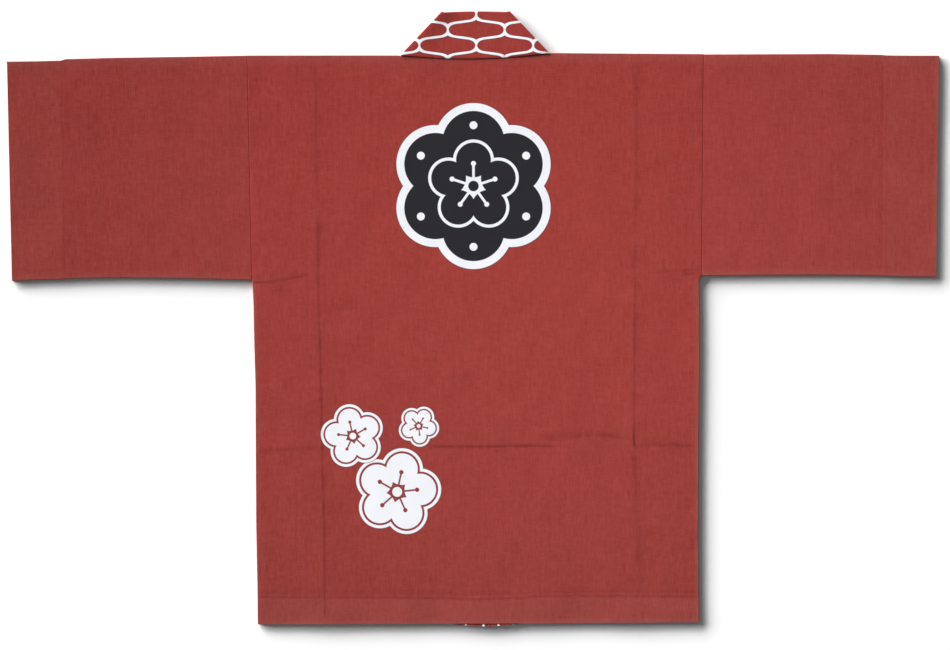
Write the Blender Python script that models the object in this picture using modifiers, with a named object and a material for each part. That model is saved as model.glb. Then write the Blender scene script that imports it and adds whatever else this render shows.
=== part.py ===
"""A happi coat of cotton oxford, laid flat with its back upwards.

X runs across the coat from the wearer's left cuff to the right one, Y from the hem towards the collar,
and Z up from the surface that the coat lies on. Each cut piece is one cloth wall. Its grid of points is
the face that is turned in, or that lies on the cloth below, and the wall grows outwards from there.
"""

import math
from collections import namedtuple

import bpy

MM = 0.001

# Walls, and the clearance between two pieces that are sewn together or lie on each other
CLOTH_WALL = 1.0 * MM
HEM_WALL = 1.6 * MM
BAND_WALL = 2.4 * MM
SEAM_GAP = 0.3 * MM

# Turned-in hems: their depth, and the width over which the cloth steps up to them
BODY_HEM = 38 * MM
HEM_STEP = 4 * MM

# The body's outline. The shoulder line and the hem line fall a little to one side, as the coat lies.
BodySide = namedtuple("BodySide", "y left right")
BODY_SIDES = (
    BodySide(y=-0.4272, left=-0.3010, right=0.3150),
    BodySide(y=-0.2600, left=-0.3038, right=0.3143),
    BodySide(y=-0.0900, left=-0.3052, right=0.3150),
    BodySide(y=0.0560, left=-0.3094, right=0.3178),
    BodySide(y=0.3690, left=-0.3157, right=0.3206),
)
ShoulderPoint = namedtuple("ShoulderPoint", "x y")
SHOULDER_LINE = (
    ShoulderPoint(x=-0.3157, y=0.3682),
    ShoulderPoint(x=-0.1016, y=0.3683),
    ShoulderPoint(x=0.1106, y=0.3717),
    ShoulderPoint(x=0.3206, y=0.3702),
)
HemPoint = namedtuple("HemPoint", "x y")
HEM_LINE = (
    HemPoint(x=-0.3010, y=-0.4272),
    HemPoint(x=0.0500, y=-0.4262),
    HemPoint(x=0.3150, y=-0.4243),
)
SHOULDER_TURN = 12 * MM  # how far the back runs on under the shoulder fold
SHOULDER_ROW = 4 * MM  # the grid's last row before the fold lies this far down the back
FRONT_SHORT = 0.6 * MM  # the fronts' hem lies this far inside the back's

# The collar band: where its folded corners and its two feet lie
Mitre = namedtuple("Mitre", "shoulder top foot_outer foot_inner outward")
MITRE_LEFT = Mitre(
    shoulder=(-0.1014, 0.3686),
    top=(-0.0452, 0.4282),
    foot_outer=(-0.0420, -0.4305),
    foot_inner=(0.0181, -0.4305),
    outward=-1,
)
MITRE_RIGHT = Mitre(
    shoulder=(0.1099, 0.3719),
    top=(0.0541, 0.4288),
    foot_outer=(0.0784, -0.4303),
    foot_inner=(0.0190, -0.4303),
    outward=1,
)
COLLAR_BOW = 1.4 * MM  # how far the free top edge of the collar bows up between its corners
NECK_DIP = 6.6 * MM  # how far the neck seam dips between the mitres

# How the back lies over the bands and sinks between them
BAND_LEDGE = 1 * MM
BAND_SLOPE = 9 * MM
SAG_MOST = 2.2 * MM
SAG_MARGIN = 6 * MM
SAG_FULL_WIDTH = 60 * MM
GAP_COLUMN = 3 * MM

# Press folds: two run lengthwise through the back, one crosses it. Each is a valley between soft flanks.
PressFold = namedtuple("PressFold", "x_shoulder x_hem")
PRESS_FOLDS = (
    PressFold(x_shoulder=-0.2191, x_hem=-0.2058),
    PressFold(x_shoulder=0.2268, x_hem=0.2380),
)
CrossFoldPoint = namedtuple("CrossFoldPoint", "x y")
CROSS_FOLD = (
    CrossFoldPoint(x=-0.3030, y=-0.1852),
    CrossFoldPoint(x=-0.2140, y=-0.1796),
    CrossFoldPoint(x=0.0300, y=-0.1789),
    CrossFoldPoint(x=0.1220, y=-0.1782),
    CrossFoldPoint(x=0.1806, y=-0.1635),
    CrossFoldPoint(x=0.2270, y=-0.1790),
    CrossFoldPoint(x=0.3140, y=-0.1782),
)
FLANK = 16 * MM
FOLD_RISE = 0.8 * MM
CROSS_FOLD_RISE = 0.6 * MM
FLANK_REACH = 3.0  # a flank has died out at this many flank widths from its fold
SHOULDER_CALM = 40 * MM  # below the shoulder line the flanks grow over this length

# Sleeves: one row for each section across the tube, from the lower x to the higher
SleeveSection = namedtuple("SleeveSection", "x_top x_bottom y_top y_bottom thick")
LEFT_SLEEVE = (
    SleeveSection(x_top=-0.6517, x_bottom=-0.6447, y_top=0.3597, y_bottom=0.0537, thick=1.0),
    SleeveSection(x_top=-0.6120, x_bottom=-0.6060, y_top=0.3602, y_bottom=0.0556, thick=1.0),
    SleeveSection(x_top=-0.5770, x_bottom=-0.5720, y_top=0.3611, y_bottom=0.0563, thick=1.0),
    SleeveSection(x_top=-0.5700, x_bottom=-0.5660, y_top=0.3632, y_bottom=0.0570, thick=0.0),
    SleeveSection(x_top=-0.5000, x_bottom=-0.4970, y_top=0.3650, y_bottom=0.0585, thick=0.0),
    SleeveSection(x_top=-0.4000, x_bottom=-0.3960, y_top=0.3665, y_bottom=0.0574, thick=0.0),
    SleeveSection(x_top=-0.3160, x_bottom=-0.3097, y_top=0.3680, y_bottom=0.0552, thick=0.0),
)
RIGHT_SLEEVE = (
    SleeveSection(x_top=0.3209, x_bottom=0.3181, y_top=0.3698, y_bottom=0.0613, thick=0.0),
    SleeveSection(x_top=0.4200, x_bottom=0.4180, y_top=0.3701, y_bottom=0.0623, thick=0.0),
    SleeveSection(x_top=0.5000, x_bottom=0.4980, y_top=0.3704, y_bottom=0.0625, thick=0.0),
    SleeveSection(x_top=0.5710, x_bottom=0.5690, y_top=0.3692, y_bottom=0.0615, thick=0.0),
    SleeveSection(x_top=0.5780, x_bottom=0.5760, y_top=0.3684, y_bottom=0.0608, thick=1.0),
    SleeveSection(x_top=0.6140, x_bottom=0.6110, y_top=0.3681, y_bottom=0.0598, thick=1.0),
    SleeveSection(x_top=0.6517, x_bottom=0.6475, y_top=0.3680, y_bottom=0.0594, thick=1.0),
)

# How finely the pieces are divided
FOLD_STEPS = 4
MITRE_STEPS = 6
SLEEVE_STEPS = 6
BAND_STEPS = 6
LEG_SHARES = (0.0, 0.25, 0.5, 0.75, 0.993)
NECK_STEPS = 14
FRONT_COLUMNS = 6

# Linear colours
OXFORD_RED = (0.352, 0.050, 0.043, 1.0)
BAND_RED = (0.380, 0.056, 0.050, 1.0)


def mix(a, b, share):
    """The value that lies this share of the way from a to b."""
    return a + (b - a) * share


def mix_points(a, b, share):
    return tuple(mix(p, q, share) for p, q in zip(a, b))


def smooth(share):
    """An even rise from 0 to 1 with soft ends."""
    share = min(max(share, 0.0), 1.0)
    return share * share * (3 - 2 * share)


def read_table(rows, by, value, wanted):
    """The wanted column of a table, between the two rows whose `by` column holds the value."""
    lower, upper = rows[0], rows[1]
    for lower, upper in zip(rows, rows[1:]):
        if value <= getattr(upper, by):
            break
    span = getattr(upper, by) - getattr(lower, by)
    share = (value - getattr(lower, by)) / span
    return mix(getattr(lower, wanted), getattr(upper, wanted), min(max(share, 0.0), 1.0))


def side_x(y, side):
    return read_table(BODY_SIDES, "y", y, side)


def shoulder_y(x):
    return read_table(SHOULDER_LINE, "x", x, "y")


def hem_y(x):
    return read_table(HEM_LINE, "x", x, "y")


def cross_fold_y(x):
    return read_table(CROSS_FOLD, "x", x, "y")


def press_fold_x(fold, y):
    share = (SHOULDER_LINE[0].y - y) / (SHOULDER_LINE[0].y - HEM_LINE[0].y)
    return mix(fold.x_shoulder, fold.x_hem, share)


def hem_share(x, y):
    """0 on plain cloth, 1 on the turned-in hem."""
    return smooth((hem_y(x) + BODY_HEM + HEM_STEP / 2 - y) / HEM_STEP)


# ---------------------------------------------------------------- where the collar band lies in plan

BAND_OUTER_RADIUS = BAND_WALL + SEAM_GAP / 2
BAND_FOLD_SLIDE = math.pi * (BAND_WALL + SEAM_GAP) / 2


class MitreLines:
    """The fold line of one mitre, and the two edges of the leg that runs down from it."""

    def __init__(self, mitre):
        rise = (mitre.top[0] - mitre.shoulder[0], mitre.top[1] - mitre.shoulder[1])
        length = math.hypot(*rise)
        self.along = (rise[0] / length, rise[1] / length)
        self.away = (mitre.outward * self.along[1], -mitre.outward * self.along[0])
        self.shoulder = self.on_axis(mitre.shoulder, 0.0)
        self.top = self.on_axis(mitre.top, BAND_FOLD_SLIDE / 2)
        self.leg_top = self.on_axis(mitre.top, -BAND_FOLD_SLIDE / 2)
        self.foot_outer = mitre.foot_outer
        self.foot_inner = mitre.foot_inner
        self.outward = mitre.outward

    def on_axis(self, corner, slide):
        """The fold's axis lies one outer radius inside the folded edge that shows."""
        return tuple(
            c - away * BAND_OUTER_RADIUS + along * slide
            for c, away, along in zip(corner, self.away, self.along)
        )

    def outer_x(self, y):
        """The leg's sewn edge at this height."""
        share = (y - self.foot_outer[1]) / (self.shoulder[1] - self.foot_outer[1])
        return mix(self.foot_outer[0], self.shoulder[0], share)

    def inner_x(self, y):
        """The leg's free edge at this height."""
        share = (y - self.foot_inner[1]) / (self.leg_top[1] - self.foot_inner[1])
        return mix(self.foot_inner[0], self.leg_top[0], share)


LEFT = MitreLines(MITRE_LEFT)
RIGHT = MitreLines(MITRE_RIGHT)


def neck_seam_y(x):
    """The lower edge of the collar across the back of the neck."""
    share = (x - LEFT.shoulder[0]) / (RIGHT.shoulder[0] - LEFT.shoulder[0])
    share = min(max(share, 0.0), 1.0)
    dip = NECK_DIP * (1 - (2 * share - 1) ** 2)
    return mix(LEFT.shoulder[1], RIGHT.shoulder[1], share) - dip


def sag(x, y):
    """How far cloth that spans the two legs of the band sinks between them."""
    left = LEFT.inner_x(y) + SAG_MARGIN
    right = RIGHT.inner_x(y) - SAG_MARGIN
    if not left < x < right:
        return 0.0
    depth = SAG_MOST * smooth((right - left) / SAG_FULL_WIDTH)
    return depth * math.sin(math.pi * (x - left) / (right - left)) ** 2


# ---------------------------------------------------------------- how high the back lies

def lying_height(x, y):
    """The underside of a cloth that lies on the fronts and on the legs of the band."""
    fronts = mix(CLOTH_WALL, HEM_WALL, hem_share(x, y)) + SEAM_GAP
    bands = BAND_WALL + SEAM_GAP
    beyond = max(LEFT.outer_x(y) - x, x - RIGHT.outer_x(y))
    share = 1 - (beyond - BAND_LEDGE) / (BAND_SLOPE - BAND_LEDGE)
    return mix(fronts, bands, min(max(share, 0.0), 1.0)) - sag(x, y)


def flank(distance):
    """A fold's flank: nothing on the fold itself, highest one flank width away, then dying out."""
    widths = abs(distance) / FLANK
    if widths < 1:
        return smooth(widths)
    return 1 - smooth((widths - 1) / (FLANK_REACH - 1))


def back_height(x, y):
    lengthwise = sum(flank(x - press_fold_x(fold, y)) for fold in PRESS_FOLDS) * FOLD_RISE
    crosswise = flank(y - cross_fold_y(x)) * CROSS_FOLD_RISE
    calm = smooth((shoulder_y(x) - y) / SHOULDER_CALM)
    return lying_height(x, y) + calm * max(lengthwise, crosswise)


# ---------------------------------------------------------------- making a piece

def plain_material(name, colour):
    material = bpy.data.materials.new(name)
    material.use_nodes = True
    shader = material.node_tree.nodes["Principled BSDF"]
    shader.inputs["Base Color"].default_value = colour
    shader.inputs["Roughness"].default_value = 0.9
    shader.inputs["Metallic"].default_value = 0.0
    return material


def cloth_piece(name, sections, colour, wall, thick_wall=None, thick_share=None, tube=False):
    """Joins neighbouring sections into one face and thickens it along its normals.

    A section that is shorter than its neighbour ends the cloth there. With tube, each section is closed.
    thick_share says from 0 to 1 how near the wall is to thick_wall at a point."""
    points = [point for section in sections for point in section]
    rows = []
    for section in sections:
        first = rows[-1][-1] + 1 if rows else 0
        rows.append(range(first, first + len(section)))
    faces = []
    for here, there in zip(rows, rows[1:]):
        shared = min(len(here), len(there))
        for step in range(shared if tube else shared - 1):
            ahead = (step + 1) % shared if tube else step + 1
            faces.append((here[step], there[step], there[ahead], here[ahead]))
    mesh = bpy.data.meshes.new(name)
    mesh.from_pydata(points, [], faces)
    mesh.materials.append(plain_material(name, colour))
    mesh.shade_smooth()
    mesh.set_sharp_from_angle(angle=math.radians(30))
    piece = bpy.data.objects.new(name, mesh)
    COAT.objects.link(piece)

    solidify = piece.modifiers.new("wall", "SOLIDIFY")
    solidify.thickness = wall if thick_wall is None else thick_wall
    solidify.offset = 1.0
    solidify.use_even_offset = True
    solidify.use_quality_normals = True
    if thick_share is not None:
        group = piece.vertex_groups.new(name="thick")
        for number, point in enumerate(points):
            group.add([number], thick_share(point), "REPLACE")
        solidify.vertex_group = group.name
        solidify.thickness_vertex_group = wall / thick_wall
    return piece


def divided(marks, counts):
    """The marks, with each stretch between two of them cut into its count of even steps."""
    values = [marks[0]]
    for start, end, count in zip(marks, marks[1:], counts):
        values += [mix(start, end, step / count) for step in range(1, count + 1)]
    return values


# ---------------------------------------------------------------- back

def back_columns(y):
    """The x of each lengthwise line of the back's grid at height y."""
    left_fold, right_fold = (press_fold_x(fold, y) for fold in PRESS_FOLDS)
    middle = (LEFT.inner_x(y) + RIGHT.inner_x(y)) / 2
    marks = (
        side_x(y, "left"),
        left_fold - FLANK,
        left_fold,
        left_fold + FLANK,
        LEFT.outer_x(y) - BAND_SLOPE,
        LEFT.outer_x(y) - BAND_LEDGE,
        min(LEFT.inner_x(y), middle - GAP_COLUMN),
        middle,
        max(RIGHT.inner_x(y), middle + GAP_COLUMN),
        RIGHT.outer_x(y) + BAND_LEDGE,
        RIGHT.outer_x(y) + BAND_SLOPE,
        right_fold - FLANK,
        right_fold,
        right_fold + FLANK,
        side_x(y, "right"),
    )
    return divided(marks, BACK_COUNTS)


BACK_COUNTS = (3, 1, 1, 3, 1, 3, 4, 4, 3, 1, 3, 1, 1, 3)
NECK_FIRST = sum(BACK_COUNTS[:5])
NECK_LAST = sum(BACK_COUNTS[:9])


def back_rows(x, in_neck):
    """The y of each crosswise line of the back's grid at x, from the hem to below the shoulder."""
    hem = hem_y(x)
    cross = cross_fold_y(x)
    highest = shoulder_y(x) - SHOULDER_ROW
    if in_neck:
        highest = neck_seam_y(x) - SEAM_GAP
    marks = (
        hem,
        hem + BODY_HEM - HEM_STEP / 2,
        hem + BODY_HEM + HEM_STEP / 2,
        cross - FLANK,
        cross,
        cross + FLANK,
        highest,
    )
    return divided(marks, (2, 1, 5, 1, 1, 13))


def shoulder_fold(x):
    """The inside of the shoulder fold at one column, from the back down to the underside."""
    upper = lying_height(x, shoulder_y(x) - CLOTH_WALL)
    radius = (upper - CLOTH_WALL) / 2
    axis_y = shoulder_y(x) - CLOTH_WALL - radius
    axis_z = CLOTH_WALL + radius
    points = []
    for step in range(FOLD_STEPS + 1):
        angle = math.pi * step / FOLD_STEPS
        points.append((x, axis_y + radius * math.sin(angle), axis_z + radius * math.cos(angle)))
    return points


def underside_x(column, y):
    """The x of a column on the underside, where the cloth beside the neck keeps clear of the band."""
    if column == NECK_FIRST:
        return LEFT.outer_x(y) - SEAM_GAP
    if column == NECK_LAST:
        return RIGHT.outer_x(y) + SEAM_GAP
    return back_columns(y)[column]


def back_column(column):
    """One lengthwise line of the back's grid. Across the neck it ends at the collar's seam."""
    across_neck = NECK_FIRST < column < NECK_LAST
    section = []
    for row, level in enumerate(back_rows(0.0, True)):
        x = back_columns(level)[column]
        y = back_rows(x, across_neck)[row]
        x = back_columns(y)[column]
        section.append((x, y, back_height(x, y)))
    if across_neck:
        return section
    shoulder = shoulder_y(section[-1][0])
    x = back_columns(shoulder)[column]
    x = min(x, MITRE_LEFT.shoulder[0] - SEAM_GAP) if column == NECK_FIRST else x
    x = max(x, MITRE_RIGHT.shoulder[0] + SEAM_GAP) if column == NECK_LAST else x
    section += shoulder_fold(x)
    for y in (shoulder - SHOULDER_ROW, shoulder - SHOULDER_TURN):
        section.append((underside_x(column, y), y, CLOTH_WALL))
    return section


def make_back():
    sections = [back_column(column) for column in range(sum(BACK_COUNTS) + 1)]
    return cloth_piece(
        "back",
        sections,
        OXFORD_RED,
        wall=CLOTH_WALL,
        thick_wall=HEM_WALL,
        thick_share=lambda point: hem_share(point[0], point[1]),
    )


# ---------------------------------------------------------------- fronts

def make_front(name, side, leg):
    """One front: its outer edge under the back's side, its inner edge along the collar band."""
    sections = []
    for column in range(FRONT_COLUMNS + 1):
        share = column / FRONT_COLUMNS if side == "left" else 1 - column / FRONT_COLUMNS
        low_x = mix(side_x(HEM_LINE[0].y, side), leg.foot_outer[0], share)
        high_x = mix(side_x(SHOULDER_LINE[0].y, side), leg.shoulder[0], share)
        lowest = hem_y(low_x) + FRONT_SHORT
        step_start = hem_y(low_x) + BODY_HEM - HEM_STEP / 2
        highest = shoulder_y(high_x) - SHOULDER_TURN - SEAM_GAP
        underarm = BODY_SIDES[3].y
        marks = (lowest, step_start, step_start + HEM_STEP, underarm, highest)
        section = []
        for y in divided(marks, (1, 1, 3, 2)):
            seam = leg.outer_x(y) + leg.outward * SEAM_GAP
            section.append((mix(side_x(y, side), seam, share), y, 0.0))
        sections.append(section)
    return cloth_piece(
        name,
        sections,
        OXFORD_RED,
        wall=CLOTH_WALL,
        thick_wall=HEM_WALL,
        thick_share=lambda point: hem_share(point[0], point[1]),
    )


# ---------------------------------------------------------------- sleeves

def sleeve_ring(row):
    """The inside of the flattened tube: up its upper layer, round the shoulder fold, down its lower one."""
    wall = mix(CLOTH_WALL, HEM_WALL, row.thick)
    radius = SEAM_GAP / 2
    low = row.y_bottom + wall + radius
    high = row.y_top - wall - radius

    def place(y, z):
        return (mix(row.x_bottom, row.x_top, (y - low) / (high - low)), y, z)

    ring = [
        place(mix(low, high, step / SLEEVE_STEPS), wall + SEAM_GAP)
        for step in range(SLEEVE_STEPS + 1)
    ]
    turn = [math.pi * step / FOLD_STEPS for step in range(1, FOLD_STEPS)]
    ring += [
        place(high + radius * math.sin(a), wall + radius + radius * math.cos(a)) for a in turn
    ]
    ring += [place(mix(high, low, step / SLEEVE_STEPS), wall) for step in range(SLEEVE_STEPS + 1)]
    ring += [
        place(low - radius * math.sin(a), wall + radius - radius * math.cos(a)) for a in turn
    ]
    return ring


def make_sleeve(name, table):
    thick_at = {}
    sections = []
    for row in table:
        ring = sleeve_ring(row)
        thick_at.update({point: row.thick for point in ring})
        sections.append(ring)
    return cloth_piece(
        name,
        sections,
        OXFORD_RED,
        wall=CLOTH_WALL,
        thick_wall=HEM_WALL,
        thick_share=lambda point: thick_at[point],
        tube=True,
    )


# ---------------------------------------------------------------- collar band

def band_section(outer, inner, height):
    """Points across the band, from its sewn edge to its free edge."""
    section = []
    for step in range(BAND_STEPS + 1):
        x, y = mix_points(outer, inner, step / BAND_STEPS)
        section.append((x, y, height(x, y)))
    return section


def mitre_fold(lines, going_up):
    """The half turn of the band at a mitre. The free edge slides along the fold as it goes round."""
    radius = SEAM_GAP / 2
    sections = []
    for step in range(MITRE_STEPS + 1):
        turn = step / MITRE_STEPS if going_up else 1 - step / MITRE_STEPS
        bulge = radius * math.sin(math.pi * turn)
        z = BAND_WALL + radius - radius * math.cos(math.pi * turn)
        push = (lines.away[0] * bulge, lines.away[1] * bulge)
        free = mix_points(lines.leg_top, lines.top, turn)
        outer = (lines.shoulder[0] + push[0], lines.shoulder[1] + push[1])
        inner = (free[0] + push[0], free[1] + push[1])
        sections.append(band_section(outer, inner, lambda x, y, z=z: z))
    return sections


def band_leg(lines):
    """The stretch of band that runs up one front, from its foot to just below the mitre."""
    return [
        band_section(
            mix_points(lines.foot_outer, lines.shoulder, share),
            mix_points(lines.foot_inner, lines.leg_top, share),
            lambda x, y: BAND_WALL,
        )
        for share in LEG_SHARES
    ]


def neck_stretch():
    """The stretch of band across the back of the neck, between the two mitres."""
    sections = []
    for step in range(1, NECK_STEPS):
        share = step / NECK_STEPS
        x = mix(LEFT.shoulder[0], RIGHT.shoulder[0], share)
        free_x, free_y = mix_points(LEFT.top, RIGHT.top, share)
        bow = COLLAR_BOW * (1 - (2 * share - 1) ** 2)
        sections.append(
            band_section(
                (x, neck_seam_y(x)),
                (free_x, free_y + bow),
                lambda x, y: BAND_WALL + SEAM_GAP - sag(x, y),
            )
        )
    return sections


def make_collar():
    sections = band_leg(LEFT)
    sections += mitre_fold(LEFT, going_up=True)
    sections += neck_stretch()
    sections += mitre_fold(RIGHT, going_up=False)
    sections += reversed(band_leg(RIGHT))
    return cloth_piece("collar", sections, BAND_RED, wall=BAND_WALL)


for old in list(bpy.data.objects):
    bpy.data.objects.remove(old, do_unlink=True)

COAT = bpy.data.collections.new("happi_coat")
bpy.context.scene.collection.children.link(COAT)

make_back()
make_front("front_left", "left", LEFT)
make_front("front_right", "right", RIGHT)
make_sleeve("sleeve_left", LEFT_SLEEVE)
make_sleeve("sleeve_right", RIGHT_SLEEVE)
make_collar()
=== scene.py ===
import math
from collections import namedtuple

import bpy
import numpy as np
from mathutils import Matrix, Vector


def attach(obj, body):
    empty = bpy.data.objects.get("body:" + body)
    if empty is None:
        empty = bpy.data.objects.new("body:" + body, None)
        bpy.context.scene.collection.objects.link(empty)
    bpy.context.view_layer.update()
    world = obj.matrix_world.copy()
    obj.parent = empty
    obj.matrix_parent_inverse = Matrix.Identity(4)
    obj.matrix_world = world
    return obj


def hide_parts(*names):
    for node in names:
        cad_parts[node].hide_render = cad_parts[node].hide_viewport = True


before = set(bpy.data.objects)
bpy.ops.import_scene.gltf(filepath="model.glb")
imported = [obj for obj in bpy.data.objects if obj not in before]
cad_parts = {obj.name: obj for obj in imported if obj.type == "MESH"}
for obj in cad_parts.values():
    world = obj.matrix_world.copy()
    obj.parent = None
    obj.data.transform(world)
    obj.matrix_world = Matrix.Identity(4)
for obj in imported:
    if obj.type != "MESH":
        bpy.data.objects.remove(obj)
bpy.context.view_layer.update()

# ---------------------------------------------------------------- the view, the light and the floor
# The coat lies on a white table and is seen from straight above, wearer's left cuff to the left.
# A long soft lamp, made of three, stands low behind the collar on the left, so that the cloth's edges
# throw a soft shadow to the right and towards the hem, and a white room fills the rest.

MM = 0.001

VIEW_X = 0.0028
VIEW_Y = -0.00875
VIEW_WIDTH = 1.33
LENS = 100.0
SENSOR = 36.0

camera_data = bpy.data.cameras.new("camera")
camera_data.lens = LENS
camera_data.sensor_width = SENSOR
camera = bpy.data.objects.new("camera", camera_data)
camera.location = (VIEW_X, VIEW_Y, VIEW_WIDTH * LENS / SENSOR)
bpy.context.scene.collection.objects.link(camera)
bpy.context.scene.camera = camera
bpy.context.scene.view_settings.view_transform = "Standard"

KEY_FROM_ZENITH = math.radians(78.7)
KEY_TOWARDS = (119, 139, 159)  # degrees from +X, counter-clockwise, one for each lamp
KEY_SOFTNESS = math.radians(24)
KEY_STRENGTH = 16.6  # of the three together
ROOM_STRENGTH = 0.15

for towards in KEY_TOWARDS:
    key_data = bpy.data.lights.new("key_lamp", "SUN")
    key_data.energy = KEY_STRENGTH / len(KEY_TOWARDS)
    key_data.angle = KEY_SOFTNESS
    key_lamp = bpy.data.objects.new("key_lamp", key_data)
    key_direction = Vector((
        math.sin(KEY_FROM_ZENITH) * math.cos(math.radians(towards)),
        math.sin(KEY_FROM_ZENITH) * math.sin(math.radians(towards)),
        math.cos(KEY_FROM_ZENITH),
    ))
    key_lamp.rotation_euler = key_direction.to_track_quat("Z", "Y").to_euler()
    bpy.context.scene.collection.objects.link(key_lamp)

room = bpy.data.worlds.new("white_room")
room.use_nodes = True
room.node_tree.nodes["Background"].inputs["Color"].default_value = (1.0, 1.0, 1.0, 1.0)
room.node_tree.nodes["Background"].inputs["Strength"].default_value = ROOM_STRENGTH
bpy.context.scene.world = room

TABLE_SIZE = 12.0
TABLE_CLEARANCE = 0.2 * MM
TABLE_WHITE = (0.91, 0.91, 0.91, 1.0)
TABLE_ROUGHNESS = 0.9

bpy.ops.object.select_all(action="DESELECT")
bpy.ops.mesh.primitive_plane_add(size=TABLE_SIZE, location=(0, 0, -TABLE_CLEARANCE))
table_top = bpy.context.object
table_top.name = "table_top"
table_paint = bpy.data.materials.new("table_paint")
table_paint.use_nodes = True
table_shader = table_paint.node_tree.nodes["Principled BSDF"]
table_shader.inputs["Base Color"].default_value = TABLE_WHITE
table_shader.inputs["Roughness"].default_value = TABLE_ROUGHNESS
table_top.data.materials.append(table_paint)

# ---------------------------------------------------------------- back panel
# The back is one width of red cotton oxford with no centre seam. It goes over the shoulders and is sewn
# to the fronts under them. Its sides are seamed to the fronts, its hem is turned in and blind-stitched,
# and it still has the creases of the packet that it was folded in.

CLOTH = 1.0 * MM
HEM_CLOTH = 1.6 * MM
SEAM_GAP = 0.3 * MM
HEM_STEP = 4 * MM

BodySide = namedtuple("BodySide", "y left right")
BODY_SIDES = (
    BodySide(y=-0.4272, left=-0.3012, right=0.3166),
    BodySide(y=-0.3700, left=-0.3019, right=0.3156),
    BodySide(y=-0.2900, left=-0.3035, right=0.3151),
    BodySide(y=-0.2000, left=-0.3040, right=0.3154),
    BodySide(y=-0.0920, left=-0.3045, right=0.3166),
    BodySide(y=-0.0350, left=-0.3062, right=0.3171),
    BodySide(y=0.0200, left=-0.3073, right=0.3166),
    BodySide(y=0.0540, left=-0.3087, right=0.3163),
    BodySide(y=0.0600, left=-0.3090, right=0.3194),
    BodySide(y=0.3690, left=-0.3157, right=0.3222),
)
LinePoint = namedtuple("LinePoint", "x y")


def line_of(*points):
    """A line over the cloth through these (x, y)."""
    return tuple(LinePoint(*point) for point in points)


SHOULDER_LINE = line_of(
    (-0.3157, 0.3682), (-0.1016, 0.3683), (0.1106, 0.3717), (0.3206, 0.3702),
)
HEM_LINE = line_of(
    (-0.3010, -0.4272), (0.0500, -0.4262), (0.3150, -0.4243),
)
# Where the turned-in hem is stitched down, about 37 mm up. Its inner edge shows a little higher
HEM_STITCHES = line_of(
    (-0.3010, -0.3901), (-0.1200, -0.3906), (-0.0350, -0.3916), (-0.0020, -0.3933),
    (0.0560, -0.3916), (0.0950, -0.3887), (0.1800, -0.3883), (0.3150, -0.3895),
)
HEM_EDGE_UP = 6.2 * MM
CROSS_FOLD = line_of(
    (-0.3030, -0.1852), (-0.2140, -0.1796), (0.0300, -0.1789), (0.1220, -0.1782),
    (0.1806, -0.1635), (0.2270, -0.1790), (0.3140, -0.1782),
)
# The collar band's sewn edge: where it leaves the shoulder line, and its foot at the hem
NECK_LEFT = (-0.1014, 0.3686)
NECK_RIGHT = (0.1069, 0.3718)
FOOT_LEFT = (-0.0420, -0.4305)
FOOT_RIGHT = (0.0784, -0.4303)
NECK_DIP = 6.6 * MM
SHOULDER_TURN = 12 * MM

BACK_TOP = 5.5 * MM  # the face that shows, over the middle of the back
SIDE_TOP = 5.2 * MM
HEM_TOP = 5.1 * MM
SIDE_REACH = 70 * MM
HEM_REACH = 90 * MM


def mix(a, b, share):
    return a + (b - a) * share


def smooth(share):
    """An even rise from 0 to 1 with soft ends, for one number or an array."""
    share = np.clip(share, 0.0, 1.0)
    return share * share * (3 - 2 * share)


def read_table(rows, by, value, wanted):
    """The wanted column of a table at this value of its `by` column."""
    known = [getattr(row, by) for row in rows]
    return np.interp(value, known, [getattr(row, wanted) for row in rows])


def side_x(y, side):
    return read_table(BODY_SIDES, "y", y, side)


def shoulder_y(x):
    return read_table(SHOULDER_LINE, "x", x, "y")


def hem_y(x):
    return read_table(HEM_LINE, "x", x, "y")


def stitches_y(x):
    return read_table(HEM_STITCHES, "x", x, "y")


def cross_fold_y(x):
    return read_table(CROSS_FOLD, "x", x, "y")


def band_edge_x(y, foot, shoulder):
    return foot[0] + (shoulder[0] - foot[0]) * (y - foot[1]) / (shoulder[1] - foot[1])


def neck_seam_y(x):
    """The lower edge of the collar across the back of the neck."""
    share = np.clip((x - NECK_LEFT[0]) / (NECK_RIGHT[0] - NECK_LEFT[0]), 0.0, 1.0)
    return mix(NECK_LEFT[1], NECK_RIGHT[1], share) - NECK_DIP * (1 - (2 * share - 1) ** 2)


Ruling = namedtuple("Ruling", "stretch share offset")
RIM = (0.35, 0.9, 1.7, 3.0)
SEAM = (0.35, 0.8, 1.3, 1.8, 2.4, 3.2, 4.4)
FOLD = (0.7, 1.4, 2.2, 3.4, 5.5, 9.0)


def rule(stretches):
    """The lines of a grid between its marks, as (stretch, share of it, offset in metres).

    Each stretch gives its fine lines after its first mark, its even ones, and the fine lines before
    its last mark, with the fine ones in millimetres."""
    lines = []
    for number, (near, even, far) in enumerate(stretches):
        lines.append(Ruling(number, 0.0, 0.0))
        lines += [Ruling(number, 0.0, step * MM) for step in near]
        start, end = (near[-1] * MM if near else 0.0), (-far[-1] * MM if far else 0.0)
        shares = [step / (even + 1) for step in range(1, even + 1)]
        lines += [Ruling(number, share, mix(start, end, share)) for share in shares]
        lines += [Ruling(number, 1.0, -step * MM) for step in reversed(far)]
    lines.append(Ruling(len(stretches) - 1, 1.0, 0.0))
    return lines


def at_ruling(marks, line):
    return mix(marks[line.stretch], marks[line.stretch + 1], line.share) + line.offset


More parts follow.
